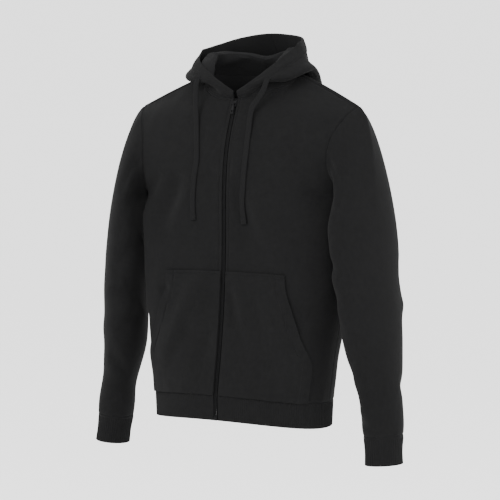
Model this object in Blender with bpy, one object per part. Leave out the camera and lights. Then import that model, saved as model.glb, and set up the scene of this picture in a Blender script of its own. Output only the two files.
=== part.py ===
"""A full-zip hooded sweatshirt that keeps the hollow form of a worn one, with its hood down and its arms hanging.

The frame: +X is the wearer's left, -Y the front, +Z up. The origin is the middle of the base of the neck, level
with the high points of the shoulders. Every cloth piece is a wall. Its middle surface is a grid of points worked
out from the tables below, and neighbouring pieces share the points of their seam. The wall is then raised to both
sides along one shared direction at each seam point, and each piece draws back by half of SEAM_GAP.
"""

import math
from collections import namedtuple

import bmesh
import bpy
import numpy as np
from mathutils import Matrix, Vector
from mathutils.bvhtree import BVHTree

# Walls and gaps
FLEECE = 0.0022
RIB = 0.0026
HOOD_CLOTH = 0.0030
POCKET_CLOTH = 0.0018
TAPE_CLOTH = 0.0010
SEAM_GAP = 0.0003
PIT_RELIEF = 0.0024
PIT_RELIEF_COLUMNS = 1.6
LYING_GAP = 0.0004

# Neck and shoulders
NECK_HALF_WIDTH = 0.100
NECK_FRONT = -0.066
NECK_BACK = 0.070
NECK_FRONT_DROP = 0.046
NECK_BACK_DROP = 0.003
SHOULDER_TIP = (0.232, -0.022, -0.061)
SHOULDER_ARCH = 0.002

# Zip
ZIP_HALF_GAP = 0.0045
TAPE_INNER = 0.0034
TAPE_OUTER = 0.0165
CHAIN_HALF_WIDTH = 0.0031
CHAIN_FRONT = 0.0004
CHAIN_BACK = -0.0022
CHAIN_TOP = 0.004
ZIP_BOX_HEIGHT = 0.0085
SLIDER_BELOW_NECK = 0.013
PULL_LENGTH = 0.021

# Ribbed bands
WAISTBAND_HEIGHT = 0.046
HEM_SCALE = 0.988

# Cords
CORD_WIDTH = 0.011
CORD_THICKNESS = 0.0030
CORD_STAND_OFF = 0.0012
CORD_TIP_HEIGHT = 0.014
CORD_TIP_WIDTH = 0.0125
CORD_TIP_THICKNESS = 0.0045

# The slider, its pull tab and its bar, from the zip's face: x across, y down the zip and z out of it
SLIDER_HALF_WIDTH = 0.0041
SLIDER_HALF_LENGTH = 0.0060
SLIDER_BACK = 0.0004
SLIDER_FRONT = 0.0022
PIN_HEIGHT = 0.0047
PIN_RADIUS = 0.0008
PIN_HALF_LENGTH = 0.0026
EAR_INNER = 0.0018
EAR_OUTER = 0.0030
EAR_HALF_LENGTH = 0.0022
EAR_OVER_BAR = 0.0014
EYE_RADIUS = 0.0020
EYE_HOLE = 0.0012
EYE_HALF_WIDTH = 0.0013
PULL_HALF_WIDTH = 0.0031
PULL_HALF_THICKNESS = 0.0006
PULL_TAB_START = 0.0034

# How many steps the seams have. Pieces that share a seam share its number of steps.
NECK_FRONT_STEPS = 6
NECK_BACK_STEPS = 5
SHOULDER_STEPS = 7
NECK_SHARE = 0.34

# A cross row of a front or back panel. centre and edge are its two ends, roundness how much of a quarter turn it
# takes (1 is all of it), power how square its corner is, and steps the rows of cells from it to the next.
Row = namedtuple("Row", "centre_y centre_z edge_x edge_y edge_z roundness power steps")
SIDE_ROWS = (
    Row(-0.1425, -0.598, 0.1820, -0.040, -0.610, 1.0, 2.2, 3),
    Row(-0.1285, -0.520, 0.1920, -0.036, -0.522, 1.0, 2.4, 3),
    Row(-0.1185, -0.440, 0.2045, -0.033, -0.442, 1.0, 2.7, 3),
    Row(-0.1130, -0.368, 0.2110, -0.030, -0.376, 1.0, 2.9, 3),
    Row(-0.1110, -0.300, 0.2150, -0.026, -0.306, 1.0, 3.0, 2),
    Row(-0.1110, -0.262, 0.2175, -0.021, -0.268, 1.0, 2.9, 2),
    Row(-0.1110, -0.232, 0.2250, -0.016, -0.241, 0.97, 2.7, 2),
)
ARMHOLE_ROWS = (
    Row(-0.1095, -0.203, 0.2080, -0.056, -0.214, 0.88, 2.5, 2),
    Row(-0.1055, -0.163, 0.1970, -0.080, -0.168, 0.70, 2.3, 2),
    Row(-0.0955, -0.120, 0.2010, -0.074, -0.122, 0.60, 2.2, 2),
    Row(-0.0800, -0.080, 0.2150, -0.054, -0.088, 0.60, 2.2, 3),
)
BACK_CENTRE = (
    (0.062, -0.606),
    (0.070, -0.522),
    (0.084, -0.442),
    (0.098, -0.376),
    (0.110, -0.306),
    (0.115, -0.268),
    (0.117, -0.236),
)
BACK_ROUNDNESS = (1.0, 1.0, 1.0, 1.0, 1.0, 1.0, 0.97)
BACK_ARMHOLE_ROWS = (
    Row(0.1175, -0.205, 0.2100, 0.030, -0.212, 0.88, 2.3, 2),
    Row(0.1140, -0.163, 0.2030, 0.056, -0.168, 0.75, 2.2, 2),
    Row(0.1060, -0.115, 0.2080, 0.048, -0.120, 0.65, 2.2, 2),
    Row(0.0930, -0.062, 0.2220, 0.018, -0.083, 0.65, 2.2, 3),
)

# How the sleeve leaves the armhole: the way it sets off at four places round it, and how hard it pulls.
Start = namedtuple("Start", "x y z pull")
SLEEVE_START = (
    Start(0.95, 0.03, -0.30, 0.055),
    Start(0.74, -0.36, -0.57, 0.150),
    Start(0.90, -0.05, -0.42, 0.122),
    Start(0.74, 0.12, -0.66, 0.130),
)
CAP_STEPS = 8

# A ring of the sleeve. tilt is how far its outer side rises for each metre across, steps the cells to the next.
Ring = namedtuple("Ring", "x y z half_width half_depth tilt steps")
TOE_IN = math.radians(22)
LEFT_ARM_LIFT = 0.008
RIGHT_ELBOW_IN = 0.007
SLEEVE_RINGS = (
    Ring(0.2580, -0.0440, -0.334, 0.0372, 0.0750, 0.80, 4),
    Ring(0.2680, -0.0440, -0.428, 0.0400, 0.0690, 0.35, 3),
    Ring(0.2765, -0.0380, -0.520, 0.0400, 0.0570, 0.15, 3),
    Ring(0.2893, -0.0367, -0.610, 0.0330, 0.0430, 0.08, 1),
    Ring(0.2930, -0.0367, -0.652, 0.0345, 0.0400, 0.08, 2),
    Ring(0.2946, -0.0367, -0.674, 0.0330, 0.0370, 0.08, 0),
)
CUFF_RINGS = (
    Ring(0.2946, -0.0367, -0.674, 0.0330, 0.0370, 0.08, 1),
    Ring(0.2966, -0.0400, -0.698, 0.0315, 0.0345, 0.08, 2),
    Ring(0.2986, -0.0426, -0.722, 0.0320, 0.0350, 0.08, 0),
)

# The hood lies down behind the neck. Going round the neck from the front, its cloth rises from the neck seam to the
# crest, runs down behind it to the fold that hangs outside, and comes up again to the rim of the face opening. Each
# place is measured from the neck seam. fold_share is how much of that folding has begun, drape how far the falling
# layer stands off and bulge the rising one.
Station = namedtuple(
    "Station",
    "angle crest_side crest_back crest_up fold_side fold_back fold_up rim_side rim_back rim_up fold_share drape bulge",
)
HOOD_STATIONS = (
    Station(0, 0.000, 0.001, 0.010, 0.002, -0.008, 0.006, -0.001, -0.003, 0.010, 0.00, 0.000, 0.002),
    Station(20, -0.002, 0.002, 0.024, 0.005, -0.010, 0.010, 0.000, -0.004, 0.028, 0.12, 0.000, 0.004),
    Station(40, -0.006, 0.004, 0.039, 0.010, -0.013, 0.013, 0.002, -0.003, 0.043, 0.75, 0.000, 0.005),
    Station(60, -0.014, 0.002, 0.048, 0.018, -0.011, 0.010, 0.003, -0.003, 0.050, 1.00, -0.001, 0.004),
    Station(90, -0.020, 0.000, 0.043, 0.022, 0.006, 0.004, 0.004, 0.002, 0.052, 1.00, 0.000, 0.002),
    Station(120, -0.021, -0.013, 0.046, 0.008, 0.049, -0.038, 0.004, 0.004, 0.063, 1.00, 0.010, 0.000),
    Station(150, -0.014, -0.028, 0.043, 0.012, 0.072, -0.110, 0.006, -0.002, 0.074, 1.00, 0.016, 0.010),
    Station(180, 0.000, -0.037, 0.036, 0.000, 0.084, -0.136, 0.000, -0.003, 0.080, 1.00, 0.019, 0.028),
)
CREST_ROLL = 0.010
FOLD_ROLL = 0.014
HOOD_STEPS = (4, 2, 3, 3, 2, 3, 4)
FOLD_ROW = 13
# The hood has slipped a little to the wearer's right: how much its left side rises and how far both sides move.
HOOD_LEAN = 0.06
HOOD_SLIP = 0.9

# The free edge of a pocket half, from its top seam down to the waist seam.
POCKET_EDGE = (
    (-0.370, 0.127),
    (-0.400, 0.130),
    (-0.440, 0.143),
    (-0.477, 0.155),
    (-0.507, 0.166),
    (-0.530, 0.172),
    (-0.555, 0.170),
    (-0.613, 0.163),
)
# A pocket half lies on its front at the zip and stands off by this much at its opening.
POCKET_STAND_OFF = 0.0014
POCKET_COLUMNS = 9
POCKET_ROWS = 9

# The largest folds. piece is the panel, (from_x, from_z) and (to_x, to_z) the ends of the fold's line, width its
# half width and depth how far it stands out (or sinks in, below zero).
Fold = namedtuple("Fold", "piece from_x from_z to_x to_z width depth")
FOLDS = (
    Fold("front_left", 0.045, -0.235, 0.080, -0.350, 0.028, -0.004),
    Fold("front_left", 0.085, -0.235, 0.115, -0.340, 0.028, 0.004),
    Fold("front_left", 0.120, -0.160, 0.165, -0.230, 0.024, -0.004),
    Fold("front_left", 0.050, -0.430, 0.085, -0.560, 0.026, -0.004),
    Fold("front_left", 0.075, -0.400, 0.130, -0.530, 0.026, 0.004),
    Fold("front_right", -0.110, -0.200, -0.150, -0.330, 0.028, -0.004),
    Fold("front_right", -0.045, -0.390, -0.150, -0.560, 0.030, 0.004),
    Fold("front_right", -0.110, -0.420, -0.160, -0.500, 0.024, -0.003),
    Fold("back", -0.030, -0.300, -0.110, -0.520, 0.034, 0.006),
    Fold("back", 0.040, -0.260, 0.120, -0.420, 0.032, -0.005),
    Fold("back", 0.090, -0.420, 0.060, -0.560, 0.030, 0.005),
    Fold("back", -0.120, -0.200, -0.060, -0.330, 0.030, -0.005),
)
# Folds across a sleeve: where its middle lies (height, and angle round the sleeve from its inner side over the
# front), its half height, how far round it reaches, how much it slants and how far it stands out.
SleeveFold = namedtuple("SleeveFold", "piece z angle half_height reach slant depth")
SLEEVE_FOLDS = (
    SleeveFold("sleeve_left", -0.415, 60, 0.022, 70, 0.020, -0.004),
    SleeveFold("sleeve_left", -0.470, 120, 0.024, 80, -0.025, 0.004),
    SleeveFold("sleeve_left", -0.585, 100, 0.020, 80, 0.020, -0.003),
    SleeveFold("sleeve_left", -0.360, 290, 0.024, 70, 0.020, -0.004),
    SleeveFold("sleeve_right", -0.400, 70, 0.024, 70, 0.025, -0.004),
    SleeveFold("sleeve_right", -0.480, 110, 0.022, 80, -0.020, 0.004),
    SleeveFold("sleeve_right", -0.600, 90, 0.020, 80, 0.015, -0.003),
    SleeveFold("sleeve_right", -0.370, 280, 0.024, 70, 0.020, -0.004),
)

# Where the flat cords hang, as seen from the front, from the buttonhole in the hood down to the sewn end.
CORD_ROUTES = {
    "left": ((0.067, -0.010), (0.064, -0.030), (0.056, -0.046), (0.046, -0.062), (0.043, -0.110),
             (0.043, -0.154), (0.040, -0.205), (0.038, -0.245), (0.041, -0.280)),
    "right": ((-0.086, -0.008), (-0.085, -0.030), (-0.082, -0.050), (-0.074, -0.089), (-0.066, -0.134),
              (-0.063, -0.163), (-0.066, -0.193), (-0.068, -0.240), (-0.066, -0.275)),
}

BLACK_FLEECE = ("black_fleece", (0.014, 0.014, 0.015), 0.92, 0.0)
BLACK_RIB = ("black_rib", (0.012, 0.012, 0.013), 0.94, 0.0)
BLACK_TAPE = ("black_woven_tape", (0.010, 0.010, 0.011), 0.85, 0.0)
BLACK_COIL = ("black_nylon_coil", (0.012, 0.012, 0.013), 0.45, 0.0)
DARK_METAL = ("dark_painted_metal", (0.060, 0.060, 0.063), 0.38, 0.9)
BLACK_CORD = ("black_flat_cord", (0.011, 0.011, 0.012), 0.88, 0.0)


# ---------------------------------------------------------------- curves and grids


def loft(keys, steps):
    """Rows read from the smooth surface through the key rows, with so many steps from each to the next."""
    keys = np.array(keys, float)
    gaps = np.linalg.norm(np.diff(keys, axis=0), axis=2).mean(axis=1)
    secants = np.diff(keys, axis=0) / gaps[:, None, None]
    slopes = np.empty_like(keys)
    slopes[0], slopes[-1] = secants[0], secants[-1]
    for k in range(1, len(keys) - 1):
        slopes[k] = (secants[k - 1] * gaps[k] + secants[k] * gaps[k - 1]) / (gaps[k] + gaps[k - 1])
    rows = []
    for k, count in enumerate(steps):
        for step in range(count):
            rows.append(hermite(keys[k], keys[k + 1], slopes[k] * gaps[k], slopes[k + 1] * gaps[k], step / count))
    rows.append(keys[-1])
    return np.array(rows)


def hermite(start, end, start_slope, end_slope, t):
    return (
        (2 * t**3 - 3 * t**2 + 1) * start
        + (t**3 - 2 * t**2 + t) * start_slope
        + (3 * t**2 - 2 * t**3) * end
        + (t**3 - t**2) * end_slope
    )


def smooth_values(at, places, values):
    """The values at those places of the smooth curve through (places, values)."""
    places = np.array(places, float)
    values = np.array(values, float)
    slopes = np.gradient(values, places, axis=0)
    k = np.clip(np.searchsorted(places, at, side="right") - 1, 0, len(places) - 2)
    gap = (places[k + 1] - places[k])[:, None]
    t = (np.asarray(at)[:, None] - places[k][:, None]) / gap
    return hermite(values[k], values[k + 1], slopes[k] * gap, slopes[k + 1] * gap, t)


def unit(vectors):
    return vectors / np.maximum(np.linalg.norm(vectors, axis=-1, keepdims=True), 1e-12)


def soft_step(x):
    x = np.clip(x, 0, 1)
    return x * x * (3 - 2 * x)


def mirrored(points):
    return np.asarray(points) * (-1, 1, 1)


# ---------------------------------------------------------------- fronts, back and seams


def neck_point(angle):
    """The neck seam, angle degrees from the middle of the front."""
    turn = math.radians(angle)
    front = max(math.cos(turn), 0.0)
    back = max(-math.cos(turn), 0.0)
    return (
        NECK_HALF_WIDTH * math.sin(turn),
        NECK_FRONT * front + NECK_BACK * back,
        -NECK_FRONT_DROP * front**0.9 - NECK_BACK_DROP * back,
    )


def neck_angles():
    """The angles of the neck seam's points in front and at the back, from the zip to the middle of the back."""
    first = math.degrees(math.asin(ZIP_HALF_GAP / NECK_HALF_WIDTH))
    return np.linspace(first, 90, NECK_FRONT_STEPS + 1), np.linspace(90, 180, NECK_BACK_STEPS + 1)


def shoulder_seam():
    start, end = np.array(neck_point(90)), np.array(SHOULDER_TIP)
    shares = np.linspace(0, 1, SHOULDER_STEPS + 1)[:, None]
    arch = np.sin(math.pi * shares) * SHOULDER_ARCH
    return start + (end - start) * shares + arch * np.array((0, 0, 1.0))


def row_shares(neck_steps):
    """Where the columns of a half panel stand, from its middle (0) to its side or armhole (1)."""
    neck = np.linspace(0, NECK_SHARE, neck_steps + 1)
    return np.concatenate([neck, np.linspace(NECK_SHARE, 1, SHOULDER_STEPS + 1)[1:]])


def cross_row(row, shares, first_x):
    """One row of a half panel: a part of a squarish quarter round from its middle to its edge."""
    across = np.sin(shares * math.asin(row.roundness)) / row.roundness

    def rounded(x):
        return (1 - np.clip(row.roundness * x, 0, 1) ** row.power) ** (1 / row.power)

    bend = (rounded(across) - rounded(1.0)) / (rounded(0.0) - rounded(1.0))
    x = first_x + (row.edge_x - first_x) * across
    y = row.edge_y + (row.centre_y - row.edge_y) * bend
    z = row.centre_z + (row.edge_z - row.centre_z) * across**2
    return np.stack([x, y, z], axis=1)


def side_seam():
    steps = [row.steps for row in SIDE_ROWS[:-1]]
    keys = [[(row.edge_x, row.edge_y, row.edge_z)] for row in SIDE_ROWS]
    return loft(keys, steps)[:, 0]


def half_panel(rows, top, shares, first_x):
    keys = [cross_row(row, shares, first_x) for row in rows] + [top]
    grid = loft(keys, [row.steps for row in rows])
    side = side_seam()
    # The side seam is shared, so the cells beside it follow it in gently.
    move = side - grid[: len(side), -1]
    grid[: len(side)] += move[:, None] * soft_step((shares - 0.6) / 0.4)[None, :, None]
    return grid


def half_front():
    front_angles, _ = neck_angles()
    neck = [neck_point(angle) for angle in front_angles]
    top = np.concatenate([neck, shoulder_seam()[1:]])
    shares = row_shares(NECK_FRONT_STEPS)
    return half_panel(SIDE_ROWS + ARMHOLE_ROWS, top, shares, ZIP_HALF_GAP)


def half_back():
    """From the middle of the back to the left side."""
    _, back_angles = neck_angles()
    neck = [neck_point(angle) for angle in back_angles[::-1]]
    top = np.concatenate([neck, shoulder_seam()[1:]])
    rows = []
    for row, (centre_y, centre_z), roundness in zip(SIDE_ROWS, BACK_CENTRE, BACK_ROUNDNESS):
        rows.append(row._replace(centre_y=centre_y, centre_z=centre_z, roundness=roundness, power=2.15))
    shares = row_shares(NECK_BACK_STEPS)
    return half_panel(tuple(rows) + BACK_ARMHOLE_ROWS, top, shares, 0.0)


def whole_back():
    half = half_back()
    return np.concatenate([mirrored(half)[:, :0:-1], half], axis=1)


# ---------------------------------------------------------------- folds in the cloth


def edge_fade(shape, cells=2.5):
    """1 inside a grid, falling to 0 at its edges, so that a fold leaves the seams alone."""
    rows, columns = np.arange(shape[0]), np.arange(shape[1])
    fade_rows = soft_step(np.minimum(rows, rows[::-1]) / cells)
    fade_columns = soft_step(np.minimum(columns, columns[::-1]) / cells)
    return fade_rows[:, None] * fade_columns[None, :]


def folded_panel(name, grid, facing):
    normals = grid_normals(grid, facing)
    lift = np.zeros(grid.shape[:2])
    for fold in FOLDS:
        if fold.piece != name:
            continue
        start = np.array((fold.from_x, fold.from_z))
        line = np.array((fold.to_x, fold.to_z)) - start
        away = grid[:, :, [0, 2]] - start
        along = np.clip((away @ line) / (line @ line), 0, 1)
        off = np.linalg.norm(away - along[..., None] * line, axis=2)
        lift += fold.depth * np.exp(-((off / fold.width) ** 2)) * (0.35 + 0.65 * np.sin(math.pi * along))
    return grid + normals * (lift * edge_fade(grid.shape))[..., None]


def folded_sleeve(name, grid):
    normals = grid_normals(grid, 1, closed=True)
    count = grid.shape[1]
    angles = np.arange(count) * 360 / count
    rows = np.arange(len(grid))
    fade = soft_step((rows - 2) / 5) * soft_step(rows[::-1] / 3)
    lift = np.zeros(grid.shape[:2])
    for fold in SLEEVE_FOLDS:
        if fold.piece != name:
            continue
        round_off = (angles - fold.angle + 180) % 360 - 180
        centre = fold.z + fold.slant * np.sin(np.radians(round_off))
        high = np.exp(-(((grid[:, :, 2] - centre) / fold.half_height) ** 2))
        lift += fold.depth * high * np.exp(-((round_off / fold.reach) ** 2))
    return grid + normals * (lift * fade[:, None])[..., None]


# ---------------------------------------------------------------- sleeves and cuffs


def ring_points(ring, count):
    """A sleeve ring, starting at its inner side and going over the front."""
    turns = np.arange(count) * 2 * math.pi / count
    inner = np.array((-math.cos(TOE_IN), math.sin(TOE_IN), 0))
    front = np.array((-math.sin(TOE_IN), -math.cos(TOE_IN), 0))
    across = np.cos(turns) * ring.half_width
    points = np.array((ring.x, ring.y, ring.z)) + across[:, None] * inner
    points = points + (np.sin(turns) * ring.half_depth)[:, None] * front
    points[:, 2] -= ring.tilt * across
    return points


def sleeve(front, back):
    """The left sleeve, from the armhole edges of the front and the back down to the cuff seam."""
    pit = sum(row.steps for row in SIDE_ROWS[:-1])
    armhole = np.concatenate([front[pit:, -1], back[pit:-1, -1][::-1]])[:-1]
    count = len(armhole)
    turns = np.arange(count) * 4 / count
    starts = np.array(SLEEVE_START + SLEEVE_START[:1])
    starts = smooth_values(turns, range(5), starts)
    first = ring_points(SLEEVE_RINGS[0], count)
    second = ring_points(SLEEVE_RINGS[1], count)
    away = unit(starts[:, :3]) * starts[:, 3:]
    reach = np.linalg.norm(first - armhole, axis=1, keepdims=True)
    arrive = unit(second - first) * reach
    cap = [hermite(armhole, first, away, arrive, step / CAP_STEPS) for step in range(CAP_STEPS)]
    keys = [ring_points(ring, count) for ring in SLEEVE_RINGS]
    arm = loft(keys, [ring.steps for ring in SLEEVE_RINGS[:-1]])
    return np.concatenate([np.array(cap), arm])


def cuff(sleeve_grid):
    count = sleeve_grid.shape[1]
    keys = [ring_points(ring, count) for ring in CUFF_RINGS]
    keys[0] = sleeve_grid[-1]
    return loft(keys, [ring.steps for ring in CUFF_RINGS[:-1]])


# ---------------------------------------------------------------- waistband


def waistband(front_left, front_right, back):
    """From the zip round the left side and the back to the zip again, and from the seam down to the hem."""
    seam = np.concatenate([front_left[0], back[0][::-1][1:], front_right[0][::-1][1:]])
    middle = np.array((0.0, seam[:, 1].mean(), 0.0))
    hem = middle + (seam - middle) * (HEM_SCALE, HEM_SCALE, 1) - (0, 0, WAISTBAND_HEIGHT)
    hem[[0, -1], 0] = seam[[0, -1], 0]
    half_way = seam * 0.5 + hem * 0.5
    return np.array([seam, half_way, hem])


# ---------------------------------------------------------------- hood


def hood_keys(station, base):
    """The key points of the hood's profile at one place round the neck."""
    turn = math.radians(station.angle)
    out = np.array((math.sin(turn), -math.cos(turn), 0.0))
    out_at_back = unit(np.array((math.sin(turn) * 0.5, -math.cos(turn), 0.0)))
    up = np.array((0, 0, 1.0))
    crest = base + np.array((station.crest_side, station.crest_back, station.crest_up))
    fold = base + np.array((station.fold_side, station.fold_back, station.fold_up))
    rim = base + np.array((station.rim_side, station.rim_back, station.rim_up))
    crest_in = crest - out * CREST_ROLL * 0.25 - up * 0.002
    crest_out = crest + out * CREST_ROLL * 0.75
    fold_in = fold - out_at_back * FOLD_ROLL * 0.6
    fold_out = fold + out_at_back * FOLD_ROLL * 0.4 + up * 0.002
    falling = (crest_out + fold_in) / 2 + station.drape * (out + up * 0.6)
    rising = (fold_out + rim) / 2 + station.bulge * out
    folded = np.array([base, crest_in, crest_out, falling, fold_in, fold_out, rising, rim])
    shares = np.linspace(0, 1, len(folded))[:, None]
    plain = base + (rim - base) * shares + np.sin(math.pi * shares) * station.bulge * out
    return plain + (folded - plain) * station.fold_share


def half_hood():
    """The left half of the hood, from the neck seam to the rim."""
    front_angles, back_angles = neck_angles()
    angles = np.concatenate([front_angles, back_angles[1:]])
    stations = np.array([hood_keys(s, np.array(neck_point(s.angle))) for s in HOOD_STATIONS])
    offsets = stations - stations[:, :1]
    # One station beyond the middle of the back, so that the two halves meet without a point.
    offsets = np.concatenate([offsets, mirrored(offsets[-2:-1])])
    places = [station.angle for station in HOOD_STATIONS]
    places.append(360 - places[-2])
    offsets = smooth_values(angles, places, offsets.reshape(len(offsets), -1))
    base = np.array([neck_point(angle) for angle in angles])
    keys = base[:, None] + offsets.reshape(len(angles), -1, 3)
    keys[-1, :, 0] = 0.0
    return loft(keys.transpose(1, 0, 2), HOOD_STEPS)


def slipped(grid):
    """The hood where it lies: free to move everywhere but at the neck seam and where its fold rests."""
    rows = np.arange(len(grid))
    free = soft_step(rows / 6) * (1 - 0.9 * np.exp(-(((rows - FOLD_ROW) / 2.5) ** 2)))
    free = free[:, None]
    grid = grid.copy()
    grid[:, :, 2] += free * HOOD_LEAN * grid[:, :, 0] * np.clip(np.abs(grid[:, :, 0]) / 0.09 - 0.3, 0, 1)
    grid[:, :, 0] -= free * HOOD_SLIP * grid[:, :, 0] ** 2
    return grid


def lifted(grid):
    """The left arm, held a little higher towards the hand."""
    lift = LEFT_ARM_LIFT * np.clip((-0.30 - grid[:, :, 2]) / 0.42, 0, 1)
    return grid + lift[..., None] * np.array((0, 0, 1.0))


def tucked(grid):
    """The right arm, its elbow a little nearer the body."""
    share = np.clip((-0.34 - grid[:, :, 2]) / 0.33, 0, 1)
    return grid + (RIGHT_ELBOW_IN * np.sin(math.pi * share) ** 2)[..., None] * np.array((1.0, 0, 0))


# ---------------------------------------------------------------- walls


def grid_normals(grid, facing, closed=False):
    """The direction out of a grid at each of its points."""
    along = np.gradient(grid, axis=0)
    if closed:
        across = (np.roll(grid, -1, axis=1) - np.roll(grid, 1, axis=1)) / 2
    else:
        across = np.gradient(grid, axis=1)
    return unit(np.cross(along, across)) * facing


def place_key(point):
    return tuple(np.round(np.asarray(point) * 1e5).astype(int))


def seam_directions(pieces):
    """The shared direction at each point where pieces meet, as the mean of theirs."""
    shared = {}
    for grid, facing, closed in pieces.values():
        normals = grid_normals(grid, facing, closed)
        for point, normal in zip(grid.reshape(-1, 3), normals.reshape(-1, 3)):
            key = place_key(point)
            shared[key] = shared.get(key, 0) + normal
    return shared


def draw_back(points, beside, normals, closed):
    """How far the points of an edge move into their piece, so that seams keep their gap."""
    if closed:
        tangents = np.roll(points, -1, axis=0) - np.roll(points, 1, axis=0)
    else:
        tangents = np.gradient(points, axis=0)
    inward = unit(np.cross(tangents, normals))
    signs = np.sign((inward * (beside - points)).sum(axis=1))
    return inward * signs[:, None] * SEAM_GAP / 2


def pit_relief(grid):
    """How far a sleeve's first ring starts along the sleeve by the underarm point, where three pieces meet."""
    count = grid.shape[1]
    columns = np.arange(count)
    near = np.exp(-((np.minimum(columns, count - columns) / PIT_RELIEF_COLUMNS) ** 2))
    return unit(grid[1] - grid[0]) * (near * PIT_RELIEF)[:, None]


def wall_faces(grid, facing, closed, thickness, shared):
    """The outer and inner points of a piece's wall, as two grids."""
    normals = np.array([unit(shared[place_key(p)]) for p in grid.reshape(-1, 3)]).reshape(grid.shape)
    shift = np.zeros_like(grid)
    shift[0] += draw_back(grid[0], grid[1], normals[0], closed)
    shift[-1] += draw_back(grid[-1], grid[-2], normals[-1], closed)
    if closed and len(grid) > CAP_STEPS:
        shift[0] += pit_relief(grid)
    if not closed:
        shift[:, 0] += draw_back(grid[:, 0], grid[:, 1], normals[:, 0], False)
        shift[:, -1] += draw_back(grid[:, -1], grid[:, -2], normals[:, -1], False)
    half = normals * thickness / 2
    return grid + shift + half, grid + shift - half


def wall_object(name, outer, inner, closed, material):
    """A closed body between two grids of points."""
    mesh = bmesh.new()
    layers = [[[mesh.verts.new(p) for p in row] for row in layer] for layer in (outer, inner)]
    rows, columns = outer.shape[:2]
    around = range(columns if closed else columns - 1)
    for layer in layers:
        for i in range(rows - 1):
            for j in around:
                k = (j + 1) % columns
                mesh.faces.new((layer[i][j], layer[i][k], layer[i + 1][k], layer[i + 1][j]))
    for i in (0, rows - 1):
        for j in around:
            k = (j + 1) % columns
            mesh.faces.new((layers[0][i][j], layers[0][i][k], layers[1][i][k], layers[1][i][j]))
    if not closed:
        for j in (0, columns - 1):
            for i in range(rows - 1):
                mesh.faces.new((layers[0][i][j], layers[0][i + 1][j], layers[1][i + 1][j], layers[1][i][j]))
    return object_from(name, mesh, material, smooth=True)


def material_from(look):
    name, colour, roughness, metallic = look
    material = bpy.data.materials.get(name)
    if material is None:
        material = bpy.data.materials.new(name)
        material.use_nodes = True
        shader = material.node_tree.nodes["Principled BSDF"]
        shader.inputs["Base Color"].default_value = (*colour, 1)
        shader.inputs["Roughness"].default_value = roughness
        shader.inputs["Metallic"].default_value = metallic
    return material


def object_from(name, mesh, look, smooth=False, matrix=None):
    """An object from a bmesh, with its faces pointing out."""
    bmesh.ops.recalc_face_normals(mesh, faces=mesh.faces)
    data = bpy.data.meshes.new(name)
    mesh.to_mesh(data)
    mesh.free()
    if smooth:
        data.shade_smooth()
        data.set_sharp_from_angle(angle=math.radians(50))
    data.materials.append(material_from(look))
    obj = bpy.data.objects.new(name, data)
    bpy.context.scene.collection.objects.link(obj)
    if matrix is not None:
        obj.matrix_world = matrix
    return obj


# ---------------------------------------------------------------- pockets


def pocket(name, front, facing):
    """Half of the kangaroo pocket, laid on a front panel and following the panel's own rows."""
    panel = front if facing < 0 else mirrored(front)
    normals = grid_normals(panel, -1)
    edge_z = np.array([z for z, _ in POCKET_EDGE])[::-1]
    edge_x = np.array([x for _, x in POCKET_EDGE])[::-1]
    lift = FLEECE / 2 + LYING_GAP + POCKET_CLOTH / 2
    lift = lift + POCKET_STAND_OFF * np.linspace(0, 1, POCKET_COLUMNS + 1)[:, None]
    rows = []
    for i in range(POCKET_ROWS + 1):
        row, row_normals = panel[i], normals[i]
        reach = np.interp(row[:, 2].mean(), edge_z, edge_x)
        x = np.linspace(ZIP_HALF_GAP + 0.001, reach, POCKET_COLUMNS + 1)
        points = np.stack([np.interp(x, row[:, 0], row[:, k]) for k in range(3)], axis=1)
        out = unit(np.stack([np.interp(x, row[:, 0], row_normals[:, k]) for k in range(3)], axis=1))
        rows.append((points, out))
    middle = np.array([points + out * lift for points, out in rows])
    out = np.array([out for _, out in rows])
    middle[0] += (middle[1] - middle[0]) * 0.03
    outer, inner = middle + out * POCKET_CLOTH / 2, middle - out * POCKET_CLOTH / 2
    if facing > 0:
        outer, inner = mirrored(outer), mirrored(inner)
    return wall_object(name, outer, inner, False, BLACK_FLEECE)


# ---------------------------------------------------------------- zip


def zip_path(front, band):
    """The edge of the left front and waistband along the zip, from the neck to the hem, and the points beside it."""
    edge = np.concatenate([front[::-1, 0], band[1:, 0]])
    beside = np.concatenate([front[::-1, 1], band[1:, 1]])
    edge[0] = edge[0] * 0.9 + edge[1] * 0.1
    beside[0] = beside[0] * 0.9 + beside[1] * 0.1
    return edge, beside


def zip_tape(name, edge, beside, side):
    """A woven tape under the edge of a front."""
    slope = (beside - edge) / (beside - edge)[:, :1]
    inner_edge = edge + slope * (TAPE_INNER - edge[:, :1])
    outer_edge = edge + slope * (TAPE_OUTER - edge[:, :1])
    along = np.gradient(edge, axis=0)
    out = unit(np.cross(slope, along))
    out = out * np.sign(-out[:, 1:2])
    depth = RIB / 2 + LYING_GAP + TAPE_CLOTH / 2
    middle = np.stack([inner_edge - out * depth, outer_edge - out * depth], axis=1)
    half = out[:, None] * TAPE_CLOTH / 2
    outer, inner = middle + half, middle - half
    if side < 0:
        outer, inner = mirrored(outer), mirrored(inner)
    return wall_object(name, outer, inner, False, BLACK_TAPE)


def chain_frames(edge):
    """Points down the middle of the zip, and the direction out of the garment at each."""
    line = edge * (0, 1, 1)
    along = unit(np.gradient(line, axis=0))
    out = np.stack([np.zeros(len(line)), along[:, 2], -along[:, 1]], axis=1)
    out = out * np.sign(-out[:, 1:2])
    return line, along, out


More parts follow.
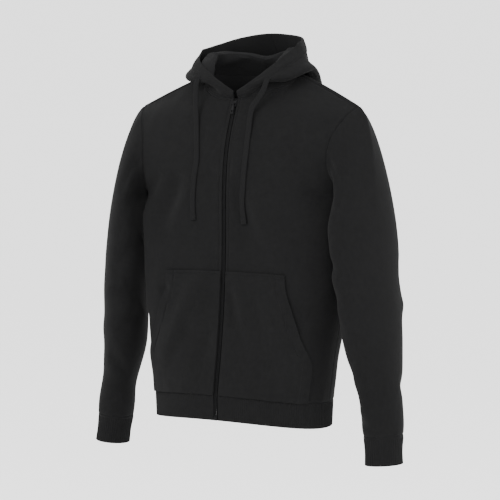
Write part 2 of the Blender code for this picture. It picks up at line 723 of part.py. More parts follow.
def cut_line(line, out, start, end):
    """The stretch of a line between two distances from its first point."""
    far = np.concatenate([[0], np.cumsum(np.linalg.norm(np.diff(line, axis=0), axis=1))])
    inside = (far > start + 1e-4) & (far < far[-1] - end - 1e-4)
    at = np.concatenate([[start], far[inside], [far[-1] - end]])
    return tuple(np.stack([np.interp(at, far, v[:, k]) for k in range(3)], axis=1) for v in (line, out))


def zip_chain(edge):
    line, _, out = chain_frames(edge)
    line, out = cut_line(line, out, CHAIN_TOP, ZIP_BOX_HEIGHT + 0.0010)
    side = np.array((CHAIN_HALF_WIDTH, 0, 0))
    front, back = line + out * CHAIN_FRONT, line + out * CHAIN_BACK
    outer = np.stack([front - side, front + side], axis=1)
    inner = np.stack([back - side, back + side], axis=1)
    return wall_object("zip_chain", outer, inner, False, BLACK_COIL)


def place_on_zip(edge, below):
    """A frame on the zip's face: its x across, its y down the zip and its z out of the garment."""
    line, along, out = chain_frames(edge)
    far = np.concatenate([[0], np.cumsum(np.linalg.norm(np.diff(line, axis=0), axis=1))])
    below = below if below >= 0 else far[-1] + below
    place = [np.interp(below, far, line[:, k]) for k in range(3)]
    down = unit(np.array([np.interp(below, far, along[:, k]) for k in range(3)]))
    outward = unit(np.array([np.interp(below, far, out[:, k]) for k in range(3)]))
    across = np.cross(down, outward)
    frame = Matrix((across, down, outward)).transposed().to_4x4()
    frame.translation = Vector(place) + Vector(outward) * CHAIN_FRONT
    return frame


def add_box(mesh, low, high, bevel=0.0):
    made = bmesh.ops.create_cube(mesh, size=1.0)["verts"]
    size = Vector(high) - Vector(low)
    bmesh.ops.scale(mesh, vec=size, verts=made)
    bmesh.ops.translate(mesh, vec=(Vector(high) + Vector(low)) / 2, verts=made)
    if bevel:
        edges = list({edge for vert in made for edge in vert.link_edges})
        bmesh.ops.bevel(mesh, geom=edges, offset=bevel, segments=2, affect="EDGES", profile=0.6)


def add_bar(mesh, radius, half_length, height, sides=16):
    """A round bar along x, at that height over the zip's face."""
    turned = Matrix.Translation((0, 0, height)) @ Matrix.Rotation(math.pi / 2, 4, "Y")
    bmesh.ops.create_cone(
        mesh, cap_ends=True, segments=sides, radius1=radius, radius2=radius, depth=2 * half_length, matrix=turned
    )


def box_piece(name, low, high, bevel, frame, look):
    mesh = bmesh.new()
    add_box(mesh, low, high, bevel)
    return object_from(name, mesh, look, matrix=frame)


def join_with(target, other, operation):
    modifier = target.modifiers.new(other.name, "BOOLEAN")
    modifier.operation = operation
    modifier.solver = "EXACT"
    modifier.object = other
    other.hide_render = True
    other.display_type = "WIRE"


def zip_slider(frame):
    """The slider's face plate, with two ears and the bar that the pull tab turns on, joined into one body."""
    plate = box_piece(
        "zip_slider",
        (-SLIDER_HALF_WIDTH, -SLIDER_HALF_LENGTH, SLIDER_BACK),
        (SLIDER_HALF_WIDTH, SLIDER_HALF_LENGTH, SLIDER_FRONT),
        0.0005,
        frame,
        DARK_METAL,
    )
    for side, name in ((-1, "ear_right"), (1, "ear_left")):
        low_x, high_x = sorted((side * EAR_INNER, side * EAR_OUTER))
        low = (low_x, -EAR_HALF_LENGTH, SLIDER_BACK + 0.0005)
        high = (high_x, EAR_HALF_LENGTH, PIN_HEIGHT + EAR_OVER_BAR)
        ear = box_piece(name, low, high, 0.0003, frame, DARK_METAL)
        join_with(plate, ear, "UNION")
    mesh = bmesh.new()
    add_bar(mesh, PIN_RADIUS, PIN_HALF_LENGTH, PIN_HEIGHT, sides=12)
    join_with(plate, object_from("bar", mesh, DARK_METAL, matrix=frame), "UNION")
    return plate


def zip_pull(frame):
    """The pull tab. Its origin is on the bar, and it hangs down over the chain."""
    hinge = frame @ Matrix.Translation((0, 0, PIN_HEIGHT))
    eye_mesh = bmesh.new()
    add_bar(eye_mesh, EYE_RADIUS, EYE_HALF_WIDTH, 0)
    eye = object_from("zip_pull", eye_mesh, DARK_METAL, matrix=hinge)
    tab_low = (-PULL_HALF_WIDTH, PULL_TAB_START, -PULL_HALF_THICKNESS)
    tab = box_piece("tab", tab_low, (PULL_HALF_WIDTH, PULL_LENGTH, PULL_HALF_THICKNESS), 0.0004, hinge, DARK_METAL)
    neck_low = (-EYE_HALF_WIDTH + 0.0001, 0.0014, -PULL_HALF_THICKNESS)
    neck_high = (EYE_HALF_WIDTH - 0.0001, PULL_TAB_START + 0.0010, PULL_HALF_THICKNESS)
    neck = box_piece("tab_neck", neck_low, neck_high, 0.0, hinge, DARK_METAL)
    mesh = bmesh.new()
    add_bar(mesh, EYE_HOLE, EYE_HALF_WIDTH * 2, 0)
    hole = object_from("eye_hole", mesh, DARK_METAL, matrix=hinge)
    join_with(eye, neck, "UNION")
    join_with(eye, tab, "UNION")
    join_with(eye, hole, "DIFFERENCE")
    return eye


# ---------------------------------------------------------------- drawcords


def tree_of(objects):
    """One search tree over the evaluated faces of several objects."""
    graph = bpy.context.evaluated_depsgraph_get()
    joined = bmesh.new()
    for obj in objects:
        joined.from_object(obj, graph)
    tree = BVHTree.FromBMesh(joined)
    joined.free()
    return tree


def hanging_line(route, tree, stand_off):
    """The cord's middle line: over whatever cloth lies behind it, and straight where it hangs clear of it."""
    route = np.array(route, float)
    far = np.concatenate([[0], np.cumsum(np.linalg.norm(np.diff(route, axis=0), axis=1))])
    at = np.linspace(0, far[-1], 60)
    path = smooth_values(at, far, route)
    depth = []
    for x, z in path:
        reach = []
        for side in (-0.55, -0.3, 0.0, 0.3, 0.55):
            hit = tree.ray_cast(Vector((x + side * CORD_WIDTH, -1.0, z)), Vector((0, 1, 0)))[0]
            if hit:
                reach.append(hit.y)
        depth.append(min(reach) - stand_off)
    hull = outer_hull(path[:, 1], np.array(depth))
    return np.stack([path[:, 0], hull, path[:, 1]], axis=1)


def outer_hull(z, y):
    """The tightest curve that stays in front of every y, bending only outward, as a hanging cord does."""
    kept = []
    for i in range(len(z)):
        while len(kept) > 1:
            a, b = kept[-2], kept[-1]
            turn = (z[b] - z[a]) * (y[i] - y[a]) - (y[b] - y[a]) * (z[i] - z[a])
            if turn < 0:
                break
            kept.pop()
        kept.append(i)
    return np.interp(-z, -z[kept], y[kept])


def flat_cord(name, line, width, thickness, look):
    """A flat cord along a line: rings of eight points, wide across the body and thin out of it."""
    along = unit(np.gradient(line, axis=0))
    across = unit(np.cross(along, np.array((0.0, 1.0, 0.0))))
    out = unit(np.cross(across, along))
    mesh = bmesh.new()
    outline = [(1.0, 0.35), (0.8, 1.0), (-0.8, 1.0), (-1.0, 0.35), (-1.0, -0.35), (-0.8, -1.0), (0.8, -1.0), (1.0, -0.35)]
    rings = []
    for point, side, outward in zip(line, across, out):
        rings.append(
            [mesh.verts.new(point + side * a * width / 2 + outward * b * thickness / 2) for a, b in outline]
        )
    for first, second in zip(rings, rings[1:]):
        for k in range(8):
            mesh.faces.new((first[k], first[(k + 1) % 8], second[(k + 1) % 8], second[k]))
    mesh.faces.new(rings[0])
    mesh.faces.new(rings[-1][::-1])
    return object_from(name, mesh, look, smooth=True)


def drawcord(side, tree):
    line = hanging_line(CORD_ROUTES[side], tree, CORD_STAND_OFF + CORD_TIP_THICKNESS / 2)
    far = np.concatenate([[0], np.cumsum(np.linalg.norm(np.diff(line, axis=0), axis=1))])

    def stretch(start, end, count):
        at = np.linspace(start, end, count)
        return np.stack([np.interp(at, far, line[:, k]) for k in range(3)], axis=1)

    cord_end = far[-1] - CORD_TIP_HEIGHT
    flat_cord(f"drawcord_{side}", stretch(0, cord_end - SEAM_GAP, 22), CORD_WIDTH, CORD_THICKNESS, BLACK_CORD)
    flat_cord(f"cord_tip_{side}", stretch(cord_end, far[-1], 3), CORD_TIP_WIDTH, CORD_TIP_THICKNESS, BLACK_CORD)


# ---------------------------------------------------------------- the garment


def cloth_grids():
    """The middle surface of each sewn piece: its grid, which way it faces and whether it is a tube."""
    front = half_front()
    back = whole_back()
    left_half_back = half_back()
    front_left = folded_panel("front_left", front, -1)
    front_right = folded_panel("front_right", mirrored(front), 1)
    arm = sleeve(front, left_half_back)
    pieces = {
        "front_left": (front_left, -1, False),
        "front_right": (front_right, 1, False),
        "back": (folded_panel("back", back, 1), 1, False),
        "sleeve_left": (lifted(folded_sleeve("sleeve_left", arm)), 1, True),
        "sleeve_right": (tucked(mirrored(folded_sleeve("sleeve_right", arm))), -1, True),
        "cuff_left": (lifted(cuff(arm)), 1, True),
        "cuff_right": (mirrored(cuff(arm)), -1, True),
        "waistband": (waistband(front, mirrored(front), back), 1, False),
        "hood_left": (slipped(half_hood()), -1, False),
        "hood_right": (slipped(mirrored(half_hood())), 1, False),
    }
    return pieces


def thickness_of(name):
    if name.startswith("hood"):
        return HOOD_CLOTH
    if name.startswith(("cuff", "waistband")):
        return RIB
    return FLEECE


def build_cloth(pieces):
    shared = seam_directions(pieces)
    for name, (grid, facing, closed) in pieces.items():
        thickness = thickness_of(name)
        look = BLACK_RIB if thickness == RIB else BLACK_FLEECE
        outer, inner = wall_faces(grid, facing, closed, thickness, shared)
        wall_object(name, outer, inner, closed, look)
    pocket("pocket_left", pieces["front_left"][0], -1)
    pocket("pocket_right", pieces["front_right"][0], 1)


def build_zip(pieces):
    edge, beside = zip_path(pieces["front_left"][0], pieces["waistband"][0])
    zip_tape("zip_tape_left", edge, beside, 1)
    zip_tape("zip_tape_right", edge, beside, -1)
    zip_chain(edge)
    foot = place_on_zip(edge, -ZIP_BOX_HEIGHT / 2 - 0.0002)
    half = ZIP_BOX_HEIGHT / 2
    box_piece("zip_box", (-0.0031, -half, -0.0022), (0.0031, half, 0.0016), 0.0005, foot, DARK_METAL)
    frame = place_on_zip(edge, SLIDER_BELOW_NECK)
    zip_slider(frame)
    zip_pull(frame)


def build_cords():
    cloth = [bpy.data.objects[n] for n in ("front_left", "front_right", "hood_left", "hood_right")]
    tree = tree_of(cloth)
    drawcord("left", tree)
    drawcord("right", tree)


def main():
    for obj in list(bpy.data.objects):
        bpy.data.objects.remove(obj)
    pieces = cloth_grids()
    build_cloth(pieces)
    build_zip(pieces)
    build_cords()


if __name__ == "__main__":
    main()
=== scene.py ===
"""A full-zip hooded sweatshirt: its cloth, zip, drawcords and stage, built round the loaded frame.

+X is the wearer's left, -Y the front and +Z up. Each cloth piece is a thin wall. Its middle surface is
a grid of points worked out from the shape tables, with creases laid into it. The wall thins to its
edges, so that sewn edges meet in a groove and free ones look folded.
"""

import math
from collections import namedtuple
from functools import lru_cache

import bmesh
import bpy
import numpy as np
from mathutils import Matrix, Vector
from mathutils.bvhtree import BVHTree


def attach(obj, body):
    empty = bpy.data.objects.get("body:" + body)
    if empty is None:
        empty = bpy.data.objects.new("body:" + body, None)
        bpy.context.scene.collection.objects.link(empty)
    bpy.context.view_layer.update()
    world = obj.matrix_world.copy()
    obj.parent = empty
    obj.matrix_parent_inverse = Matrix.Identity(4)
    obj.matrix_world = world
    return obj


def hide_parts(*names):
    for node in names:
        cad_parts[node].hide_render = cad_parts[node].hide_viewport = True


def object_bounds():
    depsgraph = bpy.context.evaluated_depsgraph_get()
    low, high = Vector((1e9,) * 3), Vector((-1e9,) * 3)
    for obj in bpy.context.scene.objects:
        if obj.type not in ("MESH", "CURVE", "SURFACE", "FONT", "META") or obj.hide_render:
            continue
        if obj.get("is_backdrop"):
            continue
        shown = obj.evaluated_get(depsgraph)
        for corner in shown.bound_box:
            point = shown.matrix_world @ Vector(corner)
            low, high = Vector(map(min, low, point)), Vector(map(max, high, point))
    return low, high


bl_info = {
    "name": "Full-zip hooded sweatshirt",
    "version": (1, 0, 0),
    "blender": (4, 5, 0),
    "location": "3D View > Sidebar > Hoodie",
    "description": "Dresses the hooded sweatshirt's frame with cloth, zip, drawcords and a plain stage",
    "category": "Object",
}

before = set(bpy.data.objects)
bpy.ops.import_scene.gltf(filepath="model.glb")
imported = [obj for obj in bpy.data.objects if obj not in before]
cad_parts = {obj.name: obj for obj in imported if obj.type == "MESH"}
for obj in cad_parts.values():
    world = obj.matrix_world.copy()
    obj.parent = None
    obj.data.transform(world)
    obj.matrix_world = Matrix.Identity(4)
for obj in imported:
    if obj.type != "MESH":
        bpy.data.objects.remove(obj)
CAD_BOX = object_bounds()


def table(fields, plain, *rows):
    """A table's rows. All but the first few, plain columns are millimetres and become metres."""
    kind = namedtuple("Entry", fields)
    return tuple(kind(*row[:plain], *(length / 1000 for length in row[plain:])) for row in rows)


def kind_of(name):
    """A piece's name without its side."""
    return name.removesuffix("_left").removesuffix("_right")


# How many fine cells each cell of the frame's own grid is cut into.
FINE = 5

# Walls, and the gap between two that lie on each other
FLEECE = 0.0022
RIB = 0.0026
HOOD_CLOTH = 0.0030
POCKET_CLOTH = 0.0018
TAPE_CLOTH = 0.0010
LYING_GAP = 0.0004

# Neck and shoulders
NECK_HALF_WIDTH = 0.100
NECK_FRONT = -0.066
NECK_BACK = 0.070
NECK_FRONT_DROP = 0.046
NECK_BACK_DROP = 0.003
SHOULDER_TIP = (0.232, -0.022, -0.061)
SHOULDER_ARCH = 0.002

# Zip
ZIP_HALF_GAP = 0.0045
TAPE_OUTER = 0.0165
CHAIN_FRONT = 0.0004
CHAIN_TOP = 0.004
ZIP_BOX_HEIGHT = 0.0085
SLIDER_BELOW_NECK = 0.013
PULL_LENGTH = 0.021

# Waistband
WAISTBAND_HEIGHT = 0.046
HEM_SCALE = 0.988

# Cords
CORD_WIDTH = 0.011
CORD_THICKNESS = 0.0030
CORD_GAP = 0.0003
CORD_TIP_HEIGHT = 0.014
CORD_TIP_WIDTH = 0.0125
CORD_TIP_THICKNESS = 0.0045

# Topstitching: how far each row lies in from its seam or edge.
ZIP_STITCH = 0.0060
WAIST_STITCH = 0.0030
NECK_STITCH = 0.0065
ARMHOLE_STITCH = 0.0028
CUFF_STITCH = 0.0060
TUNNEL_STITCH = 0.0240
HOOD_STITCH = 0.0040
CROWN_STITCH = 0.0030
POCKET_HEM_STITCH = 0.0195
POCKET_TOP_STITCH = 0.0060
# Each kind of piece's rows: the edge (0 first row of its grid, 1 last row, 2 first column, 3 last) and
# how far in.
TOPSTITCHING = {
    "front": ((2, ZIP_STITCH), (0, WAIST_STITCH), (1, NECK_STITCH)),
    "back": ((0, WAIST_STITCH), (1, NECK_STITCH)),
    "sleeve": ((0, ARMHOLE_STITCH), (1, CUFF_STITCH)),
    "hood": ((1, TUNNEL_STITCH), (0, HOOD_STITCH), (3, CROWN_STITCH)),
    "pocket": ((3, POCKET_HEM_STITCH), (1, POCKET_TOP_STITCH)),
}
# The channel that a row presses into the cloth, and how deep its thread lies in it.
CHANNEL_DEPTH = 0.0013
CHANNEL_WIDTH = 0.0011
STITCH_SINK = -0.00005
# A stitch's rings: how far along it (-1 to 1), how high they stand and their share of its width.
STITCH_RINGS = ((-1, -0.00015, 0.45), (-0.45, 0.00028, 1.0), (0.45, 0.00028, 1.0), (1, -0.00015, 0.45))

# Stage
FLOOR_HEIGHT = -1.30
WORLD_STRENGTH = 2.2
CAMERA_HEIGHT = -0.062
CAMERA_TILT = math.radians(4.35)
CAMERA_SHIFT = -0.008
CAMERA_LENS = 136.2

# How strongly all the creases are pressed in, and how far the hood's cloth thins where its fold begins.
CREASE_STRENGTH = 1.9
CREASE_WIDTH = 1.25
FOLD_START_THINNESS = 0.45
EASING_ROUNDS = 140

# How many steps the seams have. Pieces that share a seam share its number of steps.
NECK_FRONT_STEPS = 6
NECK_BACK_STEPS = 5
SHOULDER_STEPS = 7
NECK_SHARE = 0.34

# A cross row of a front or back panel. roundness is how much of a quarter turn it takes (1 is all of
# it), power how square its corner is, steps the rows of cells from it to the next, and centre and edge
# are its two ends.
ROW = "roundness power steps centre_y centre_z edge_x edge_y edge_z"
SIDE_ROWS = table(
    ROW, 3,
    (1.0, 2.2, 3, -142.5, -598, 182, -40, -610),
    (1.0, 2.4, 3, -128.5, -520, 192, -36, -522),
    (1.0, 2.7, 3, -118.5, -440, 204.5, -33, -442),
    (1.0, 2.9, 3, -113, -368, 211, -30, -376),
    (1.0, 3.0, 2, -111, -300, 215, -26, -306),
    (1.0, 2.9, 2, -111, -262, 217.5, -21, -268),
    (0.97, 2.7, 2, -111, -232, 225, -16, -241),
)
ARMHOLE_ROWS = table(
    ROW, 3,
    (0.88, 2.5, 2, -109.5, -203, 208, -56, -214),
    (0.7, 2.3, 2, -105.5, -163, 197, -80, -168),
    (0.6, 2.2, 2, -95.5, -120, 201, -74, -122),
    (0.6, 2.2, 3, -80, -80, 215, -54, -88),
)
# The back shares the side seam, and its middle line runs through these points.
BACK_CENTRE = table(
    "y z", 0,
    (62, -606), (70, -522), (84, -442), (98, -376), (110, -306), (115, -268), (117, -236),
)
BACK_POWER = 2.15
BACK_ARMHOLE_ROWS = table(
    ROW, 3,
    (0.88, 2.3, 2, 117.5, -205, 210, 30, -212),
    (0.75, 2.2, 2, 114, -163, 203, 56, -168),
    (0.65, 2.2, 2, 106, -115, 208, 48, -120),
    (0.65, 2.2, 3, 93, -62, 222, 18, -83),
)

# How the sleeve leaves the armhole: the way it sets off at four places round it, and how hard it pulls.
SLEEVE_START = table(
    "x y z pull", 3,
    (0.95, 0.03, -0.3, 55), (0.74, -0.36, -0.57, 150), (0.9, -0.05, -0.42, 122),
    (0.74, 0.12, -0.66, 130),
)
CAP_STEPS = 8

# A ring of the sleeve. tilt is how far its outer side rises for each metre across, steps the cells to
# the next.
RING = "tilt steps x y z half_width half_depth"
TOE_IN = math.radians(22)
LEFT_ARM_LIFT = 0.008
RIGHT_ELBOW_IN = 0.007
SLEEVE_RINGS = table(
    RING, 2,
    (0.8, 4, 258, -44, -334, 37.2, 75),
    (0.35, 3, 268, -44, -428, 40, 69),
    (0.15, 3, 276.5, -38, -520, 40, 57),
    (0.08, 1, 289.3, -36.7, -610, 33, 43),
    (0.08, 2, 293, -36.7, -652, 34.5, 40),
    (0.08, 0, 294.6, -36.7, -674, 33, 37),
)
CUFF_RINGS = table(
    RING, 2,
    (0.08, 1, 294.6, -36.7, -674, 33, 37),
    (0.08, 2, 296.6, -40, -698, 31.5, 34.5),
    (0.08, 0, 298.6, -42.6, -722, 32, 35),
)

# The hood lies down behind the neck. Going round the neck from the front, its cloth rises from the neck
# seam to the crest, runs down behind it to the fold that hangs outside, and comes up again to the rim
# of the face opening. Each place is measured from the neck seam. fold_share is how much of that folding
# has begun, drape how far the falling layer stands off and bulge the rising one.
STATION = (
    "angle fold_share crest_side crest_back crest_up fold_side fold_back fold_up"
    " rim_side rim_back rim_up drape bulge"
)
HOOD_STATIONS = table(
    STATION, 2,
    (0, 0.0, 0, 1, 10, 2, -8, 6, -1, -3, 10, 0, 2),
    (20, 0.12, -2, 2, 24, 5, -10, 10, 0, -4, 28, 0, 4),
    (40, 0.75, -6, 4, 39, 10, -13, 13, 2, -3, 43, 0, 5),
    (60, 1.0, -14, 2, 48, 18, -11, 10, 3, -3, 50, -1, 4),
    (90, 1.0, -20, 0, 43, 22, 6, 4, 4, 2, 52, 0, 2),
    (120, 1.0, -18, -9, 46, 8, 49, -38, 4, 4, 63, 10, 0),
    (150, 1.0, -12, -19, 43, 12, 72, -110, 6, -2, 74, 16, 10),
    (180, 1.0, 0, -26, 36, 0, 84, -136, 0, -3, 80, 19, 28),
)
CREST_ROLL = 0.010
FOLD_ROLL = 0.014
HOOD_STEPS = (4, 2, 3, 3, 2, 3, 4)
FOLD_ROW = 13
# The hood has slipped a little to the wearer's right: how much its left side rises and how far both
# sides move.
HOOD_LEAN = 0.06
HOOD_SLIP = 0.9
# Half the neck is about this far round, and the hood's cloth about this long from the neck seam to the
# rim.
HOOD_SIZE = np.array((0.27, 0.36))

# The free edge of a pocket half, from its top seam down to the waist seam.
POCKET_EDGE = table(
    "z x", 0,
    (-370, 127), (-400, 130), (-440, 143), (-477, 155), (-507, 166), (-530, 172), (-555, 170),
    (-613, 163),
)
# A pocket half lies on its front at the zip and stands off by this much at its opening.
POCKET_STAND_OFF = 0.0014
POCKET_COLUMNS = 9
POCKET_ROWS = 9
# The middle of a pocket's opening hangs open by this much, at this height.
POCKET_GAPE = 0.0022
POCKET_GAPE_HEIGHT = -0.450

# The largest folds, and the creases between them, as seen from the front: the two ends of a line, its
# half width and how far it stands out (or sinks in, below zero).
LINE = "from_x from_z to_x to_z width depth"
FOLDS = {
    "front_left": table(
        LINE, 0,
        (45, -235, 80, -350, 28, -4), (85, -235, 115, -340, 28, 4), (120, -160, 165, -230, 24, -4),
        (50, -430, 85, -560, 26, -4), (75, -400, 130, -530, 26, 4),
    ),
    "front_right": table(
        LINE, 0,
        (-110, -200, -150, -330, 28, -4), (-45, -390, -150, -560, 30, 4),
        (-110, -420, -160, -500, 24, -3),
    ),
    "back": table(
        LINE, 0,
        (-30, -300, -110, -520, 34, 6), (40, -260, 120, -420, 32, -5), (90, -420, 60, -560, 30, 5),
        (-120, -200, -60, -330, 30, -5),
    ),
}
CREASES = {
    "front_left": table(
        LINE, 0,
        (22, -190, 42, -330, 16, -2.6), (60, -215, 92, -330, 15, 2.2), (118, -120, 168, -205, 15, -3),
        (140, -105, 186, -170, 11, 1.6), (150, -200, 196, -236, 10, -2.4),
        (10, -385, 52, -585, 14, -3), (22, -370, 78, -540, 12, 2.4), (62, -410, 98, -500, 12, -2.2),
        (105, -525, 70, -590, 11, -1.8), (175, -450, 150, -560, 13, 2),
    ),
    "front_right": table(
        LINE, 0,
        (-100, -190, -160, -305, 16, -2.8), (-80, -215, -128, -300, 13, 2),
        (-150, -190, -196, -232, 10, -2.4), (-28, -345, -130, -545, 15, 2.6),
        (-60, -430, -118, -560, 11, -2.2), (-18, -470, -50, -575, 11, -2),
        (-120, -400, -146, -415, 10, -2.2), (-180, -470, -160, -570, 12, 1.8),
    ),
    "back": table(
        LINE, 0,
        (-40, -150, -150, -300, 18, -3), (60, -170, 150, -290, 16, -2.6),
        (150, -200, 196, -240, 10, -2.6), (-145, -190, -194, -240, 10, -2.4),
        (-20, -330, -100, -500, 16, 3), (30, -380, 100, -560, 15, -3),
        (-80, -460, -20, -585, 13, -2.6), (120, -420, 70, -520, 13, 2.2),
        (10, -500, 40, -590, 11, 1.8), (-160, -440, -130, -570, 13, -2.2),
    ),
}

# Folds across a sleeve: the angle of its middle round the sleeve from its inner side over the front,
# how far round it reaches, its height, its half height, how much it slants and how far it stands out.
ARM_FOLD = "angle reach z half_height slant depth"
SLEEVE_FOLDS = {
    "sleeve_left": table(
        ARM_FOLD, 2,
        (60, 70, -415, 22, 20, -4), (120, 80, -470, 24, -25, 4), (100, 80, -585, 20, 20, -3),
        (290, 70, -360, 24, 20, -4),
    ),
    "sleeve_right": table(
        ARM_FOLD, 2,
        (70, 70, -400, 24, 25, -4), (110, 80, -480, 22, -20, 4), (90, 80, -600, 20, 15, -3),
        (280, 70, -370, 24, 20, -4),
    ),
}
# Creases on a sleeve, by the angle and the height of both ends.
ARM_LINE = "from_angle to_angle from_z to_z width depth"
# Degrees become metres round a sleeve of about 60 mm radius, so that widths are real ones.
SLEEVE_DEGREE = math.radians(1) * 0.060
ARM_CREASES = {
    "sleeve_left": table(
        ARM_LINE, 2,
        (60, 110, -150, -205, 12, -3), (50, 95, -185, -255, 13, -2.8), (30, 85, -250, -300, 14, 2.2),
        (40, 120, -330, -390, 13, -3), (60, 140, -360, -410, 12, 2.2), (20, 100, -420, -470, 13, -2.6),
        (110, 40, -505, -560, 12, -2.4), (130, 60, -560, -600, 10, 1.8),
        (40, 120, -630, -648, 8, -1.8), (250, 310, -330, -400, 14, -3),
        (230, 320, -420, -450, 12, 2.4), (210, 290, -560, -600, 12, -2.2),
        (290, 325, -220, -290, 12, -2.6),
    ),
    "sleeve_right": table(
        ARM_LINE, 2,
        (65, 112, -160, -225, 12, -2.8), (40, 90, -205, -270, 13, -2.8),
        (30, 115, -315, -375, 14, -2.8), (70, 150, -400, -430, 12, 2.2),
        (25, 105, -455, -500, 13, -2.8), (120, 45, -540, -590, 11, -2.2),
        (60, 140, -625, -645, 8, -1.8), (240, 315, -300, -380, 14, -2.8),
        (225, 310, -450, -480, 12, 2.2), (285, 325, -215, -280, 12, -2.6),
    ),
}

# Creases on the hood: round the neck from the front (0) to the middle of the back (1), and along its
# cloth from the neck seam (0) to the rim (1).
HOOD_LINE = "from_round from_along to_round to_along width depth"
HOOD_CREASES = {
    "hood_left": table(
        HOOD_LINE, 4,
        (0.62, 0.1, 0.8, 0.24, 10, 4), (0.7, 0.05, 0.95, 0.12, 9, -3.4),
        (0.86, 0.16, 1.0, 0.2, 8, 2.6), (0.45, 0.12, 0.56, 0.26, 9, -3),
        (0.6, 0.46, 0.85, 0.56, 12, -3.2), (0.5, 0.72, 0.72, 0.88, 12, -4),
        (0.66, 0.7, 0.84, 0.82, 12, 3.6), (0.8, 0.84, 0.98, 0.9, 10, -3),
    ),
    "hood_right": table(
        HOOD_LINE, 4,
        (0.6, 0.07, 0.92, 0.17, 10, -4), (0.62, 0.18, 0.8, 0.24, 10, 4),
        (0.4, 0.14, 0.54, 0.28, 9, -3), (0.62, 0.44, 0.88, 0.5, 12, -3),
        (0.48, 0.68, 0.7, 0.84, 13, -4), (0.74, 0.74, 0.92, 0.86, 12, 3.4),
    ),
}

# Where the flat cords hang, as seen from the front, from the buttonhole in the hood down to the sewn
# end.
CORD_ROUTES = {
    "left": table(
        "x z", 0,
        (67, -10), (64, -30), (56, -46), (46, -62), (43, -110), (43, -154), (40, -205), (38, -245),
        (41, -280),
    ),
    "right": table(
        "x z", 0,
        (-86, -8), (-85, -30), (-82, -50), (-74, -89), (-66, -134), (-63, -163), (-66, -193),
        (-68, -240), (-66, -275),
    ),
}


# ---------------------------------------------------------------- lines and grids


def distances(line):
    """How far each point of a line is from its first one, along the line."""
    return np.concatenate([[0], np.cumsum(np.linalg.norm(np.diff(line, axis=0), axis=1))])


def read_at(places, far, values):
    """Points or directions at places along a line, where far says how far along each value is."""
    return np.stack([np.interp(places, far, values[:, k]) for k in range(3)], axis=-1)


def loft(keys, steps):
    """Rows of the smooth surface through the key rows, with so many steps from each to the next."""
    keys = np.array(keys, float)
    gaps = np.linalg.norm(np.diff(keys, axis=0), axis=2).mean(axis=1)
    secants = np.diff(keys, axis=0) / gaps[:, None, None]
    slopes = np.empty_like(keys)
    slopes[0], slopes[-1] = secants[0], secants[-1]
    for k in range(1, len(keys) - 1):
        slopes[k] = (secants[k - 1] * gaps[k] + secants[k] * gaps[k - 1]) / (gaps[k] + gaps[k - 1])
    rows = []
    for k, gap in enumerate(gaps):
        shares = np.arange(steps[k] * FINE) / (steps[k] * FINE)
        rows += [hermite(keys[k], keys[k + 1], slopes[k] * gap, slopes[k + 1] * gap, t) for t in shares]
    return np.array(rows + [keys[-1]])


def hermite(start, end, start_slope, end_slope, t):
    return (
        (2 * t**3 - 3 * t**2 + 1) * start
        + (t**3 - 2 * t**2 + t) * start_slope
        + (3 * t**2 - 2 * t**3) * end
        + (t**3 - t**2) * end_slope
    )


def smooth_values(at, places, values):
    """The values at those places of the smooth curve through (places, values)."""
    places = np.array(places, float)
    values = np.array(values, float)
    slopes = np.gradient(values, places, axis=0)
    k = np.clip(np.searchsorted(places, at, side="right") - 1, 0, len(places) - 2)
    gap = (places[k + 1] - places[k])[:, None]
    t = (np.asarray(at)[:, None] - places[k][:, None]) / gap
    return hermite(values[k], values[k + 1], slopes[k] * gap, slopes[k + 1] * gap, t)


def unit(vectors):
    return vectors / np.maximum(np.linalg.norm(vectors, axis=-1, keepdims=True), 1e-12)


def soft_step(x):
    x = np.clip(x, 0, 1)
    return x * x * (3 - 2 * x)


def mirrored(points):
    return np.asarray(points) * (-1, 1, 1)


def path_distance(grid, axis, start):
    """How far each point is from the first (0) or last (-1) row or column, measured along the cloth."""
    grid = np.swapaxes(grid, 0, axis)
    steps = np.linalg.norm(np.diff(grid, axis=0), axis=2)
    far = np.concatenate([np.zeros((1, grid.shape[1])), np.cumsum(steps, axis=0)])
    return np.swapaxes(far if start == 0 else far[-1:] - far, 0, axis)


def edge_distances(grid, closed):
    """How far each point is from the first row, the last row and, if not a tube, both outer columns."""
    axes = (0,) if closed else (0, 1)
    return [path_distance(grid, axis, start) for axis in axes for start in (0, -1)]


def near_edges(grid, closed, reach):
    """0 at every edge of a grid, rising to 1 by reach metres inside it."""
    return soft_step(np.minimum.reduce(edge_distances(grid, closed)) / reach)


def grid_normals(grid, facing, closed=False):
    """The direction out of a grid at each of its points."""
    along = np.gradient(grid, axis=0)
    if closed:
        across = (np.roll(grid, -1, axis=1) - np.roll(grid, 1, axis=1)) / 2
    else:
        across = np.gradient(grid, axis=1)
    return unit(np.cross(along, across)) * facing


# ---------------------------------------------------------------- the shape of each piece


def neck_point(angle):
    """The neck seam, angle degrees from the middle of the front."""
    turn = math.radians(angle)
    front = max(math.cos(turn), 0.0)
    back = max(-math.cos(turn), 0.0)
    return (
        NECK_HALF_WIDTH * math.sin(turn),
        NECK_FRONT * front + NECK_BACK * back,
        -NECK_FRONT_DROP * front**0.9 - NECK_BACK_DROP * back,
    )


def neck_angles():
    """The neck seam's angles, from the zip to the side and from there to the middle of the back."""
    first = math.degrees(math.asin(ZIP_HALF_GAP / NECK_HALF_WIDTH))
    front = np.linspace(first, 90, NECK_FRONT_STEPS * FINE + 1)
    return front, np.linspace(90, 180, NECK_BACK_STEPS * FINE + 1)


def shoulder_seam():
    start, end = np.array(neck_point(90)), np.array(SHOULDER_TIP)
    shares = np.linspace(0, 1, SHOULDER_STEPS * FINE + 1)[:, None]
    arch = np.sin(math.pi * shares) * SHOULDER_ARCH
    return start + (end - start) * shares + arch * np.array((0, 0, 1.0))


